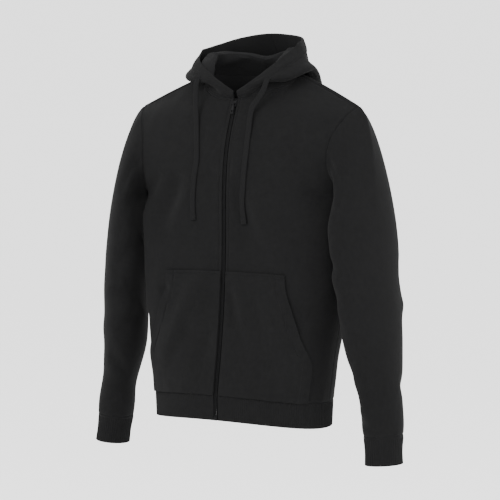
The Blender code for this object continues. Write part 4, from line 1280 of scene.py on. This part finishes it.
@once
def nap_with_painted_light_material():
    """The brushed inside of the fleece: no stitches to see, only nap. Its colour is the fleece's
    lightened 1.3 to 2.1 times; the nap is real, the lightening is painted light that stands in for
    light reaching the inside.
    """
    nodes = Nodes("black_fleece_nap_painted_light")
    place = nodes.place()
    tufts = nodes.noise(place, 420.0, 4.0, 0.75)
    shade = (nodes.noise(place, 12.0) * 0.4 + tufts * 0.6).clamped()
    colour = settings().fleece_colour
    return nodes.finish(
        # Painted light: the inside is coloured lighter than the fleece, in place of light reaching into
        # the garment.
        colour=nodes.mix(shade, lightened(colour, 1.3), lightened(colour, 2.1)),
        roughness=tufts * 0.1 + 0.88,
        normal=nodes.bump(tufts, 0.6, 0.0006),
        Sheen_Weight=0.01,
        Sheen_Roughness=0.6,
        Specular_IOR_Level=0.03,
    )


@once
def rib_material():
    return knit_material("black_rib_knit", settings().rib_colour, 0.0010, 0.0011, 0.00022, 0.6, 0.010)


@once
def tape_material():
    """A woven zip tape: a fine herringbone twill."""
    nodes = Nodes("woven_tape_finish")
    across, along = nodes.weave()
    twill = (along * 5200.0 + (across * 1500.0).sine().abs() * 5.0).sine()
    shade = (twill * 0.25 + 0.5).clamped()
    return nodes.finish(
        colour=nodes.mix(shade, (0.0012, 0.0012, 0.0013), (0.0030, 0.0030, 0.0032)),
        roughness=nodes.noise(nodes.place(), 300.0) * 0.1 + 0.78,
        normal=nodes.bump(twill, 0.5, 0.00012),
        Specular_IOR_Level=0.08,
    )


@once
def cord_material():
    """A flat tubular braid: two sets of strands that cross on the slant."""
    nodes = Nodes("flat_cord_finish")
    across, along = nodes.weave()
    pitch = 2 * math.pi / 0.0016
    strands = (along * pitch + across * pitch).sine() * (along * pitch - across * pitch).sine()
    shade = (strands * 0.3 + nodes.noise(nodes.place(), 1400.0) * 0.5 + 0.2).clamped()
    return nodes.finish(
        colour=nodes.mix(shade, (0.0026, 0.0026, 0.0027), (0.0058, 0.0058, 0.0060)),
        roughness=nodes.noise(nodes.place(), 400.0) * 0.1 + 0.78,
        normal=nodes.bump(strands, 0.6, 0.00022),
        Sheen_Weight=0.006,
        Specular_IOR_Level=0.05,
    )


@once
def metal_material():
    """Dark painted die-cast metal, slightly uneven and rubbed a little brighter in places."""
    nodes = Nodes("dark_paint_finish")
    place = nodes.place()
    rub = (nodes.noise(place, 260.0, 4.0, 0.6) * 1.6 - 0.45).clamped()
    return nodes.finish(
        colour=nodes.mix(rub, (0.0022, 0.0022, 0.0024), (0.0070, 0.0070, 0.0073)),
        roughness=nodes.noise(place, 900.0, 3.0) * 0.16 + 0.42,
        normal=nodes.bump(nodes.noise(place, 1500.0), 0.12, 0.00006),
        Metallic=0.0,
        Specular_IOR_Level=0.045,
    )


def uneven_material(name, grain, dark, light, rough_grain, rough_range, rough, shine=0.05, **fixed):
    """A plain material whose colour and roughness vary a little."""
    nodes = Nodes(name)
    place = nodes.place()
    return nodes.finish(
        colour=nodes.mix(nodes.noise(place, grain), dark, light),
        roughness=nodes.noise(place, rough_grain) * rough_range + rough,
        Specular_IOR_Level=shine,
        **fixed,
    )


@once
def coil_material():
    dark, light = (0.0011, 0.0011, 0.0012), (0.0034, 0.0034, 0.0036)
    return uneven_material("nylon_coil_finish", 700.0, dark, light, 500.0, 0.15, 0.46)


@once
def thread_material():
    dark, light = (0.0050, 0.0050, 0.0052), (0.0095, 0.0095, 0.0099)
    return uneven_material("black_sewing_thread", 2500.0, dark, light, 800.0, 0.12, 0.60)


@once
def floor_material():
    glow = {"Emission_Color": (1, 1, 1, 1), "Emission_Strength": 0.13 * WORLD_STRENGTH}
    dark, light = (0.86, 0.86, 0.86), (0.88, 0.88, 0.88)
    return uneven_material("pale_floor", 3.0, dark, light, 20.0, 0.05, 0.9, shine=0.1, **glow)


def dress(obj, material, body="garment"):
    """Gives a piece its material, slot and body."""
    obj.data.materials.clear()
    obj.data.materials.append(material)
    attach(obj, body)
    return obj


# ---------------------------------------------------------------- settings


class HoodieSettings(bpy.types.PropertyGroup):
    """The sizes and colours of the garment's finish."""

    fleece_colour: bpy.props.FloatVectorProperty(
        name="Fleece colour", description="Middle colour of the brushed fleece", subtype="COLOR",
        size=3, min=0, max=1, default=(0.0035, 0.0035, 0.0036),
    )
    rib_colour: bpy.props.FloatVectorProperty(
        name="Rib colour", description="Middle colour of the ribbed cuffs and waistband",
        subtype="COLOR", size=3, min=0, max=1, default=(0.0036, 0.0036, 0.0037),
    )
    stitch_pitch: bpy.props.FloatProperty(
        name="Stitch length", description="From one stitch of the topstitching to the next",
        default=0.0033, min=0.002, max=0.008, unit="LENGTH",
    )
    rib_pitch: bpy.props.FloatProperty(
        name="Rib pitch", description="From one raised rib of the cuffs and waistband to the next",
        default=0.0042, min=0.002, max=0.01, unit="LENGTH",
    )
    rib_depth: bpy.props.FloatProperty(
        name="Rib depth", description="How far a rib stands out of the furrows beside it",
        default=0.0007, min=0, max=0.002, unit="LENGTH",
    )
    coil_pitch: bpy.props.FloatProperty(
        name="Coil pitch", description="From one turn of the zip's coil to the next on the same side",
        default=0.0016, min=0.001, max=0.004, unit="LENGTH",
    )


class StageSettings(bpy.types.PropertyGroup):
    """The camera and lights."""

    camera_distance: bpy.props.FloatProperty(
        name="Camera distance", description="From the middle of the neck to the camera, level with it",
        default=3.6, min=1, max=10, unit="LENGTH",
    )
    camera_turn: bpy.props.FloatProperty(
        name="Camera turn", description="How far round to the wearer's left the camera stands",
        default=math.radians(30), subtype="ANGLE",
    )
    key_power: bpy.props.FloatProperty(
        name="Key light", description="Power of the large soft light in front", default=170.0, min=0,
        unit="POWER",
    )
    neck_power: bpy.props.FloatProperty(
        name="Neck light", description="Power of the soft light that reaches into the neck",
        default=60.0, min=0, unit="POWER",
    )
    side_power: bpy.props.FloatProperty(
        name="Side light", description="Power of the soft light at the wearer's left", default=110.0,
        min=0, unit="POWER",
    )


def settings():
    return bpy.context.scene.hoodie_settings


# ---------------------------------------------------------------- cloth pieces

# The cut of what shows of each piece: its width and length before it was sewn, its area where it isn't
# a rectangle, and how it is held. A tube's width is all the way round it.
Cut = namedtuple("Cut", "width length area held")


def rib_height(angle):
    """How far raised ribs stand out, one for each full turn."""
    wave = np.cos(angle)
    return settings().rib_depth * 0.5 * (np.sign(wave) * np.abs(wave) ** 0.7 - 0.6)


def wall_of(name):
    """A piece's wall, with the channels that its stitching presses into it, or with its ribs."""
    kind, rib_pitch = kind_of(name), settings().rib_pitch
    if kind == "cuff":
        width = mean_length(cloth_grids()[name].grid, 1) + 0.003
        count = round(width / rib_pitch)

        def even_ribs(across):
            """Ribs that close up evenly round a tube."""
            round_it = across.max(axis=1, keepdims=True) + (across[:, 1:2] - across[:, :1])
            return rib_height(across / round_it * 2 * math.pi * count)

        return build_wall(name, RIB, 0.004, even_ribs, width / (count * 6))
    if kind == "waistband":

        def ribs(across):
            return rib_height(across * 2 * math.pi / rib_pitch)

        return build_wall(name, RIB, 0.006, ribs, rib_pitch / 6)
    if kind == "hood":
        return build_wall(name, HOOD_CLOTH)
    if kind == "pocket":
        return build_wall(name, POCKET_CLOTH, 0.0034)
    return build_wall(name, FLEECE)


def sew_piece(name, wall):
    """Makes one cloth piece from its wall, in place of its frame node."""
    obj = wall_mesh(f"{name}_cloth", wall)
    kind = kind_of(name)
    if kind in ("cuff", "waistband"):
        dress(obj, rib_material())
    elif kind == "zip_tape":
        dress(obj, tape_material())
    else:
        dress(obj, fleece_material())
        line_inside(obj, wall)
    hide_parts(name)


def line_inside(obj, wall):
    """The inner face of a fleece piece shows the brushed back of the cloth, coloured lighter with
    painted light for the light that reaches inside.
    """
    obj.data.materials.append(nap_with_painted_light_material())
    rows, columns = wall.outer.shape[:2]
    around = columns if wall.closed else columns - 1
    skin = (rows - 1) * around
    index = np.zeros(len(obj.data.polygons), int)
    index[skin : 2 * skin] = 1
    obj.data.polygons.foreach_set("material_index", index)


def row_span(name, edge, wall):
    """The stretch of an edge that its row of stitches covers, as shares of its length."""
    if edge == 1 and name in ("front_left", "front_right", "back"):
        # Only the neck's part of the top edge. The shoulder seams have no row.
        x, y = np.abs(wall.middle[-1][:, 0]), wall.middle[-1][:, 1]
        shares = np.linspace(0, 1, len(x))
        if name == "back":
            inside = shares[x < NECK_HALF_WIDTH * 0.98]
            return inside.min(), inside.max()
        return 0.02, shares[np.hypot(x / NECK_HALF_WIDTH, y / NECK_BACK) < 1.02].max()
    return {"hood": (0.01, 0.995), "pocket": (0.01, 0.99)}.get(kind_of(name), (0.0, 1.0))


def sew(stitches, names):
    """Sews pieces of fleece and all their topstitching, which is one object of its own."""
    lines = []
    for name in names:
        wall = wall_of(name)
        # A pocket half rests on its front.
        sew_piece(name, wall)
        for edge, far in TOPSTITCHING[kind_of(name)]:
            lines.append(stitch_line(wall, edge, far, *row_span(name, edge, wall)))
    stitch_piece(stitches, lines)


class HOODIE_OT_fronts(bpy.types.Operator):
    """Makes the two front panels and their topstitching"""

    bl_idname = "hoodie.fronts"
    bl_label = "Fronts"

    def execute(self, context):
        sew("front_topstitching", ("front_left", "front_right"))
        return {"FINISHED"}


class HOODIE_OT_back(bpy.types.Operator):
    """Makes the back panel and its topstitching"""

    bl_idname = "hoodie.back"
    bl_label = "Back"

    def execute(self, context):
        sew("back_topstitching", ("back",))
        return {"FINISHED"}


class HOODIE_OT_sleeves(bpy.types.Operator):
    """Makes the two sleeves and their topstitching"""

    bl_idname = "hoodie.sleeves"
    bl_label = "Sleeves"

    def execute(self, context):
        for name in ("sleeve_left", "sleeve_right"):
            sew(f"{name}_topstitching", (name,))
        return {"FINISHED"}


class HOODIE_OT_ribs(bpy.types.Operator):
    """Makes the ribbed cuffs and waistband"""

    bl_idname = "hoodie.ribs"
    bl_label = "Cuffs and waistband"

    def execute(self, context):
        for name in ("cuff_left", "cuff_right", "waistband"):
            sew_piece(name, wall_of(name))
        return {"FINISHED"}


class HOODIE_OT_hood(bpy.types.Operator):
    """Makes the two hood panels, their tunnel and crown stitching and the sewn buttonholes"""

    bl_idname = "hoodie.hood"
    bl_label = "Hood"

    def execute(self, context):
        sew("hood_topstitching", ("hood_left", "hood_right"))
        for side in ("left", "right"):
            sewn_buttonhole(side)
        return {"FINISHED"}


class HOODIE_OT_pockets(bpy.types.Operator):
    """Makes the two halves of the front pocket"""

    bl_idname = "hoodie.pockets"
    bl_label = "Pockets"

    def execute(self, context):
        sew("pocket_topstitching", ("pocket_left", "pocket_right"))
        return {"FINISHED"}


# ---------------------------------------------------------------- zip


@lru_cache(maxsize=1)
def zip_edge():
    grids = cloth_grids()
    return zip_path(grids["front_left"].grid, grids["waistband"].grid)


def tape_wall(side):
    """A tape's faces: flat, thinning a little at both its edges."""
    edge, beside = zip_edge()
    slope = (beside - edge) / (beside - edge)[:, :1]
    out = unit(np.cross(slope, np.gradient(edge, axis=0)))
    out = out * np.sign(-out[:, 1:2])
    depth = RIB / 2 + LYING_GAP + TAPE_CLOTH / 2
    reach = np.array((0.0003, 0.0008, 0.0016, 0.0030, 0.0060, 0.0100, 0.0150, TAPE_OUTER))
    swell = np.array((-0.0001, 0, 0, 0, 0, 0, 0, -0.0002))
    from_edge = reach[None, :, None] - edge[:, None, :1]
    middle = edge[:, None] + slope[:, None] * from_edge - (out * depth)[:, None]
    half = out[:, None] * (TAPE_CLOTH / 2 + swell)[None, :, None]
    if side == "right":
        middle, half = mirrored(middle), mirrored(half)
    # The grid runs down from the neck, so its faces turn the other way from a front's.
    facing = 1 if side == "left" else -1
    across, along = path_distance(middle, 1, 0), path_distance(middle, 0, 0)
    return Wall(middle, middle + half, middle - half, unit(half), [], False, across, along, facing)


# One turn of the coil, from the tape's edge up over the middle of the zip to its head: how far each of
# its rings lies across the zip and out of it, how far ahead as a share of the pitch, and its radius.
COIL_TURN = (
    (0.0031, -0.00075, -0.10, 0.00042),
    (0.0027, -0.00015, 0.0, 0.00052),
    (0.0010, 0.00005, 0.12, 0.00050),
    (-0.0002, 0.00005, 0.16, 0.00066),
    (-0.0008, -0.00025, 0.18, 0.00050),
)


def coil_mesh():
    """Both rows of coil turns down the zip, each side half a pitch from the other."""
    line, _, out = chain_frames(zip_edge()[0])
    line, out = cut_line(line, out, CHAIN_TOP, ZIP_BOX_HEIGHT + 0.0010)
    far = distances(line)
    pitch = settings().coil_pitch
    angles = [turn * math.pi / 3 for turn in range(6)]
    shape = np.array([
        (across, ahead * pitch + math.cos(angle) * radius, height + math.sin(angle) * radius * 0.8)
        for across, height, ahead, radius in COIL_TURN
        for angle in angles
    ])
    points, faces = [], []
    for side in (-1, 1):
        for place in np.arange(pitch * (0.75 if side < 0 else 1.25), far[-1] - pitch, pitch):
            up = unit(read_at(place, far, out))
            down = np.cross(np.array((1.0, 0, 0)), up)
            down = down if down[2] < 0 else -down
            moved = shape[:, :1] * (side, 0, 0) + shape[:, 1:2] * -down + shape[:, 2:] * up
            faces += tube_faces(len(points), len(COIL_TURN), 6)
            points += list(read_at(place, far, line) + moved)
    return points, faces, line, out


class HOODIE_OT_zip_chain(bpy.types.Operator):
    """Makes the zip's two tapes, its coil and the thread that sews the coil down"""

    bl_idname = "hoodie.zip_chain"
    bl_label = "Zip tapes and coil"

    def execute(self, context):
        for side in ("left", "right"):
            sew_piece(f"zip_tape_{side}", tape_wall(side))
        points, faces, line, out = coil_mesh()
        coil = mesh_object("zip_coil", points, faces, smooth=50)
        outward(coil)
        dress(coil, coil_material())
        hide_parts("zip_chain")
        lines = [(line + out * 0.0004 + np.array((side * 0.0020, 0, 0)), out) for side in (-1, 1)]
        stitch_piece("coil_thread", lines)
        return {"FINISHED"}


# ---------------------------------------------------------------- modelling by hand


def begin():
    if bpy.context.object and bpy.context.object.mode != "OBJECT":
        bpy.ops.object.mode_set(mode="OBJECT")
    bpy.ops.object.select_all(action="DESELECT")


def block(name, low, high):
    """A block between two corners, selected and active."""
    begin()
    low, high = Vector(low), Vector(high)
    bpy.ops.mesh.primitive_cube_add(size=1, location=(low + high) / 2)
    obj = bpy.context.object
    obj.name = name
    obj.scale = high - low
    bpy.ops.object.transform_apply(location=True, rotation=True, scale=True)
    return obj


def bar(name, radius, half_length, middle, sides=32):
    """A round bar along x."""
    begin()
    size = {"vertices": sides, "radius": radius, "depth": 2 * half_length}
    bpy.ops.mesh.primitive_cylinder_add(location=middle, rotation=(0, math.pi / 2, 0), **size)
    obj = bpy.context.object
    obj.name = name
    bpy.ops.object.transform_apply(location=True, rotation=True, scale=True)
    return obj


def pick_faces(obj, test):
    """Goes into edit mode with only the faces selected whose middle and normal pass a test."""
    bpy.ops.object.mode_set(mode="EDIT")
    bpy.ops.mesh.select_mode(type="FACE")
    work = bmesh.from_edit_mesh(obj.data)
    for face in work.faces:
        face.select_set(bool(test(face.calc_center_median(), face.normal)))
    bmesh.update_edit_mesh(obj.data)


def out_of_edit():
    bpy.ops.object.mode_set(mode="OBJECT")


def scale_faces(obj, test, value):
    pick_faces(obj, test)
    bpy.ops.transform.resize(value=value)
    out_of_edit()


def inset_faces(obj, test, *insets):
    """Insets the faces that pass a test, by a thickness and a depth at a time."""
    pick_faces(obj, test)
    for thickness, depth in insets:
        bpy.ops.mesh.inset(thickness=thickness, depth=depth)
    out_of_edit()


def apply_modifier(obj, kind, **values):
    modifier = obj.modifiers.new(kind.lower(), kind)
    for name, value in values.items():
        setattr(modifier, name, value)
    bpy.context.view_layer.objects.active = obj
    bpy.ops.object.modifier_apply(modifier=modifier.name)


def joined_with(obj, other, operation="UNION"):
    apply_modifier(obj, "BOOLEAN", object=other, operation=operation, solver="EXACT")
    bpy.data.objects.remove(other)


def rounded(obj, width, segments=3, angle=30):
    limit = {"limit_method": "ANGLE", "angle_limit": math.radians(angle)}
    apply_modifier(obj, "BEVEL", width=width, segments=segments, **limit)


def set_down(obj, place, smooth=40):
    """Puts a finished piece where it belongs, with its place in its mesh."""
    begin()
    obj.select_set(True)
    bpy.context.view_layer.objects.active = obj
    obj.data.transform(place)
    bpy.ops.object.shade_smooth_by_angle(angle=math.radians(smooth))
    outward(obj)
    return obj


# The slider's and pull tab's own sizes, from the zip's face: x across, y down the zip and z out of it.
SLIDER = {"half_width": 0.0041, "half_length": 0.0060, "back": 0.0004, "front": 0.0022}
PIN = {"height": 0.0047, "radius": 0.0008, "half_length": 0.0026}
EAR = {"inner": 0.0018, "outer": 0.0030, "half_length": 0.0022, "top": 0.0061}
EYE = {"radius": 0.0020, "hole": 0.0012, "half_width": 0.0013}
TAB = {"half_width": 0.0031, "half_thickness": 0.0006, "start": 0.0034, "hole": 0.0012}


def slider_body():
    """A die-cast slider: a plate that narrows down the zip, with side flanges, two ears and a bar."""
    wide, long, back = SLIDER["half_width"], SLIDER["half_length"], SLIDER["back"]
    ear_long = EAR["half_length"]
    plate = block("zip_slider_body", (-wide, -long, back), (wide, long, SLIDER["front"]))
    # The lower end, where the two sides have met, is narrower, and the face is raised into a low crown.
    scale_faces(plate, lambda middle, normal: normal.y > 0.9, (0.76, 1, 0.85))
    inset_faces(plate, lambda middle, normal: normal.z > 0.9, (0.0011, 0.00035))
    for side in (-1, 1):
        low, high = sorted((side * (wide - 0.0008), side * wide))
        flange = block("flange", (low, -long + 0.0009, -0.0010), (high, long * 0.35, back + 0.0006))
        joined_with(plate, flange)
        low, high = sorted((side * EAR["inner"], side * EAR["outer"]))
        ear = block("ear", (low, -ear_long, back + 0.0005), (high, ear_long, EAR["top"]))
        scale_faces(ear, lambda middle, normal: normal.z > 0.9, (1, 0.55, 1))
        rounded(ear, 0.0005, 3)
        joined_with(plate, ear)
    joined_with(plate, bar("bar", PIN["radius"], PIN["half_length"], (0, 0, PIN["height"]), 20))
    rounded(plate, 0.00022, 2, 40)
    return plate


def pull_tab():
    """A flat tab with a long hole, hanging from an eye round the slider's bar, which is its origin."""
    eye = bar("zip_pull_tab", EYE["radius"], EYE["half_width"], (0, 0, 0), 28)
    wide, thick, neck = TAB["half_width"], TAB["half_thickness"], EYE["half_width"] - 0.0001
    tab = block("tab", (-wide, TAB["start"], -thick), (wide, PULL_LENGTH, thick))
    # Narrow by the eye and a little wider at its end, with a rim round both faces.
    scale_faces(tab, lambda middle, normal: normal.y < -0.9, (0.62, 1, 1))
    inset_faces(tab, lambda middle, normal: abs(normal.z) > 0.9, (0.0006, 0), (0.00012, -0.00016))
    hole = bar("hole", TAB["hole"], 0.004, (0, 0, 0), 24)
    hole.data.transform(Matrix.Rotation(math.pi / 2, 4, "Y"))
    hole.data.transform(Matrix.Diagonal((1, 2.1, 1, 1)))
    hole.data.transform(Matrix.Translation((0, PULL_LENGTH - 0.0056, 0)))
    joined_with(tab, hole, "DIFFERENCE")
    joined_with(eye, block("neck", (-neck, 0.0014, -thick), (neck, 0.0046, thick)))
    joined_with(eye, tab)
    joined_with(eye, bar("eye_hole", EYE["hole"], EYE["half_width"] * 2, (0, 0, 0), 20), "DIFFERENCE")
    rounded(eye, 0.00018, 2, 40)
    return eye


def foot_box():
    """The retainer at the foot of the zip: a block with a rim round a sunk face, a narrow slot cut down
    its middle, and rounded edges.
    """
    half = ZIP_BOX_HEIGHT / 2
    box = block("zip_foot_box", (-0.0031, -half, -0.0022), (0.0031, half, 0.0016))
    inset_faces(box, lambda middle, normal: normal.z > 0.9, (0.0007, 0), (0.0002, -0.0004))
    slot = block("slot", (-0.00035, -half - 0.001, 0.0009), (0.00035, half * 0.3, 0.003))
    joined_with(box, slot, "DIFFERENCE")
    rounded(box, 0.0004, 3)
    return box


class HOODIE_OT_slider(bpy.types.Operator):
    """Models the slider, its pull tab and the box at the foot of the zip"""

    bl_idname = "hoodie.slider"
    bl_label = "Slider, pull tab and box"

    def execute(self, context):
        edge, _ = zip_edge()
        face = place_on_zip(edge, SLIDER_BELOW_NECK)
        hinge = face @ Matrix.Translation((0, 0, PIN["height"]))
        foot = place_on_zip(edge, -ZIP_BOX_HEIGHT / 2 - 0.0002)
        for make, node, place, body in (
            (slider_body, "zip_slider", face, "garment"),
            (pull_tab, "zip_pull", hinge, "pull_tab"),
            (foot_box, "zip_box", foot, "garment"),
        ):
            piece = set_down(make(), place)
            dress(piece, metal_material(), body)
            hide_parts(node)
        return {"FINISHED"}


# ---------------------------------------------------------------- drawcords

TOWARDS_BACK = Vector((0, 1, 0))
BUTTONHOLE = {"stitches": 40, "half_width": 0.0062, "half_height": 0.0030, "reach": 0.0012}


@lru_cache(maxsize=None)
def tree_of(*names):
    """The built cloth of some pieces, to find where a line of sight from the front meets it."""
    joined = bmesh.new()
    for name in names:
        joined.from_mesh(bpy.data.objects[f"{name}_cloth"].data)
    tree = BVHTree.FromBMesh(joined)
    joined.free()
    return tree


def hanging_line(route):
    """The cord's middle line: over the cloth behind it, and straight where it hangs clear of it."""
    cloth = tree_of("front_left", "front_right", "hood_left", "hood_right")
    far = distances(route)
    path = smooth_values(np.linspace(0, far[-1], 90), far, route)
    depth = []
    for x, z in path:
        starts = [Vector((x + side * CORD_WIDTH, -1.0, z)) for side in (-0.5, -0.25, 0.0, 0.25, 0.5)]
        hits = [cloth.ray_cast(start, TOWARDS_BACK)[0] for start in starts]
        depth.append(min(hit.y for hit in hits if hit) - CORD_THICKNESS / 2 - CORD_GAP)
    line = np.stack([path[:, 0], outer_hull(path[:, 1], np.array(depth)), path[:, 1]], axis=1)
    # The cord comes out of its buttonhole.
    line[:, 1] += 0.0034 * (1 - soft_step(np.linspace(0, far[-1], len(line)) / 0.012))
    return line


def flat_tube(name, line, widths, thicknesses):
    """A flat woven tube along a line, with rounded sides and closed ends."""
    along = unit(np.gradient(line, axis=0))
    across = unit(np.cross(along, np.array((0.0, 1.0, 0.0))))
    out = unit(np.cross(across, along))
    sides = 16
    turns = np.arange(sides) * 2 * math.pi / sides

    def swung(values, power, sizes):
        sizes = np.broadcast_to(sizes, len(line))
        return np.sign(values) * np.abs(values) ** power * sizes[:, None] / 2

    wide = swung(np.cos(turns), 0.55, widths)
    tall = swung(np.sin(turns), 0.8, thicknesses)
    points = line[:, None] + across[:, None] * wide[..., None] + out[:, None] * tall[..., None]
    far = np.broadcast_to(distances(line)[:, None], wide.shape)
    weave = np.stack([wide, far, np.zeros(wide.shape)], axis=2)
    faces = tube_faces(0, len(line), sides)
    obj = mesh_object(name, points.reshape(-1, 3), faces, weave.reshape(-1, 3), smooth=60)
    outward(obj)
    dress(obj, cord_material())
    return obj


def cord_end(name, line):
    """The cord's end: folded back, wound with thread and stitched across."""
    shares = np.linspace(0, 1, len(line))

    def dip(depth, place, width):
        return depth * np.exp(-(((shares - place) / width) ** 2))

    swell = 1 - dip(0.12, 0, 0.06) - 0.45 * np.clip((shares - 0.93) / 0.07, 0, 1) ** 2
    waist = 1 - dip(0.10, 0.30, 0.05) - dip(0.10, 0.75, 0.05)
    return flat_tube(name, line, CORD_TIP_WIDTH * swell * waist, CORD_TIP_THICKNESS * swell * waist)


def sewn_buttonhole(side):
    """A worked buttonhole round the slit that the cord comes out of: short stitches, close together."""
    x, z = CORD_ROUTES[side][0]
    hit, normal, _, _ = tree_of(f"hood_{side}").ray_cast(Vector((x, -1.0, z)), TOWARDS_BACK)
    if hit is None:
        raise RuntimeError("the hood has no cloth where its buttonhole goes")
    up = (Vector((0, 0, 1)) - normal * normal.z).normalized()
    across = up.cross(normal)
    points, faces = [], []
    for k in range(BUTTONHOLE["stitches"]):
        turn = k * 2 * math.pi / BUTTONHOLE["stitches"]
        aside = across * math.cos(turn) * BUTTONHOLE["half_width"]
        middle = hit + aside + up * math.sin(turn) * BUTTONHOLE["half_height"]
        way = (across * math.cos(turn) * 0.5 + up * math.sin(turn)).normalized() * BUTTONHOLE["reach"]
        line = np.array([middle - way, middle, middle + way]) + np.array(normal) * 0.0004
        # Two stitches fit each of these short lines.
        pitch = BUTTONHOLE["reach"] * 2 / 2.001
        more, more_faces = stitches_on([(line, np.array([normal] * 3))], pitch, width=0.0008)
        faces += [tuple(len(points) + v for v in face) for face in more_faces]
        points += more
    obj = mesh_object(f"buttonhole_{side}", points, faces)
    outward(obj)
    dress(obj, thread_material())


class HOODIE_OT_drawcords(bpy.types.Operator):
    """Makes the two flat drawcords and their stitched ends"""

    bl_idname = "hoodie.drawcords"
    bl_label = "Drawcords"

    def execute(self, context):
        for side in ("left", "right"):
            line = hanging_line(CORD_ROUTES[side])
            far = distances(line)
            tip_start = far[-1] - CORD_TIP_HEIGHT
            cord_line = read_at(np.linspace(0, tip_start + 0.001, 110), far, line)
            cord = flat_tube(f"drawcord_{side}_braid", cord_line, CORD_WIDTH, CORD_THICKNESS)
            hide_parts(f"drawcord_{side}")
            tip_line = read_at(np.linspace(tip_start, far[-1], 40), far, line)
            tip = cord_end(f"cord_tip_{side}_wound", tip_line)
            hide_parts(f"cord_tip_{side}")
        return {"FINISHED"}


# ---------------------------------------------------------------- stage


def soft_light(name, place, aim, size, power):
    light = bpy.data.lights.new(name, "AREA")
    light.shape = "RECTANGLE"
    light.size, light.size_y = size
    light.energy = power
    obj = bpy.data.objects.new(name, light)
    bpy.context.scene.collection.objects.link(obj)
    obj.location = place
    obj.rotation_euler = (Vector(aim) - Vector(place)).to_track_quat("-Z", "Y").to_euler()
    return obj


class HOODIE_OT_stage(bpy.types.Operator):
    """Sets the floor, the lights and the camera"""

    bl_idname = "hoodie.stage"
    bl_label = "Stage"

    def execute(self, context):
        stage = context.scene.hoodie_stage
        begin()
        bpy.ops.mesh.primitive_plane_add(size=600, location=(0, 0, FLOOR_HEIGHT))
        floor = context.object
        floor.name = "floor"
        bpy.ops.object.transform_apply(location=True, rotation=True, scale=True)
        floor.data.materials.append(floor_material())
        floor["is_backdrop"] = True
        world = bpy.data.worlds.new("studio")
        world.use_nodes = True
        background = world.node_tree.nodes["Background"]
        background.inputs["Color"].default_value = (1, 1, 1, 1)
        background.inputs["Strength"].default_value = WORLD_STRENGTH
        context.scene.world = world
        soft_light("key", (-1.2, -3.4, 1.9), (0, 0, -0.3), (2.2, 2.2), stage.key_power)
        soft_light("into_neck", (1.5, -2.6, 0.25), (0.0, 0.05, 0.0), (0.9, 0.9), stage.neck_power)
        soft_light("side", (3.2, -0.4, 0.6), (0.2, 0, -0.35), (1.2, 2.6), stage.side_power)
        camera = bpy.data.cameras.new("photograph_camera")
        camera.sensor_width = 36
        camera.lens = CAMERA_LENS
        camera.shift_x = CAMERA_SHIFT
        camera.clip_end = 200
        obj = bpy.data.objects.new("photograph_camera", camera)
        context.scene.collection.objects.link(obj)
        turn, far = stage.camera_turn, stage.camera_distance
        obj.location = (math.sin(turn) * far, -math.cos(turn) * far, CAMERA_HEIGHT)
        obj.rotation_euler = (math.pi / 2 - CAMERA_TILT, 0, turn)
        context.scene.camera = obj
        return {"FINISHED"}


# ---------------------------------------------------------------- panel and registration

STEPS = (
    HOODIE_OT_stage,
    HOODIE_OT_fronts,
    HOODIE_OT_back,
    HOODIE_OT_sleeves,
    HOODIE_OT_ribs,
    HOODIE_OT_hood,
    HOODIE_OT_pockets,
    HOODIE_OT_zip_chain,
    HOODIE_OT_slider,
    HOODIE_OT_drawcords,
)


class HOODIE_PT_sidebar(bpy.types.Panel):
    """Lists the hoodie's pieces and settings"""

    bl_idname = "HOODIE_PT_sidebar"
    bl_label = "Hoodie"
    bl_space_type = "VIEW_3D"
    bl_region_type = "UI"
    bl_category = "Hoodie"

    def draw(self, context):
        for step in STEPS:
            self.layout.operator(step.bl_idname)
        for group in (context.scene.hoodie_settings, context.scene.hoodie_stage):
            for name in type(group).__annotations__:
                self.layout.prop(group, name)


CLASSES = (HoodieSettings, StageSettings) + STEPS + (HOODIE_PT_sidebar,)


def register():
    for cls in CLASSES:
        bpy.utils.register_class(cls)
    bpy.types.Scene.hoodie_settings = bpy.props.PointerProperty(type=HoodieSettings)
    bpy.types.Scene.hoodie_stage = bpy.props.PointerProperty(type=StageSettings)


def unregister():
    del bpy.types.Scene.hoodie_stage
    del bpy.types.Scene.hoodie_settings
    for cls in reversed(CLASSES):
        bpy.utils.unregister_class(cls)


def plain(box):
    return [[float(value) for value in corner] for corner in box]


def main():
    register()
    for step in STEPS:
        family, name = step.bl_idname.split(".")
        getattr(getattr(bpy.ops, family), name)()
    {"cad": plain(CAD_BOX), "visual": plain(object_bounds())}


if __name__ == "__main__":
    main()
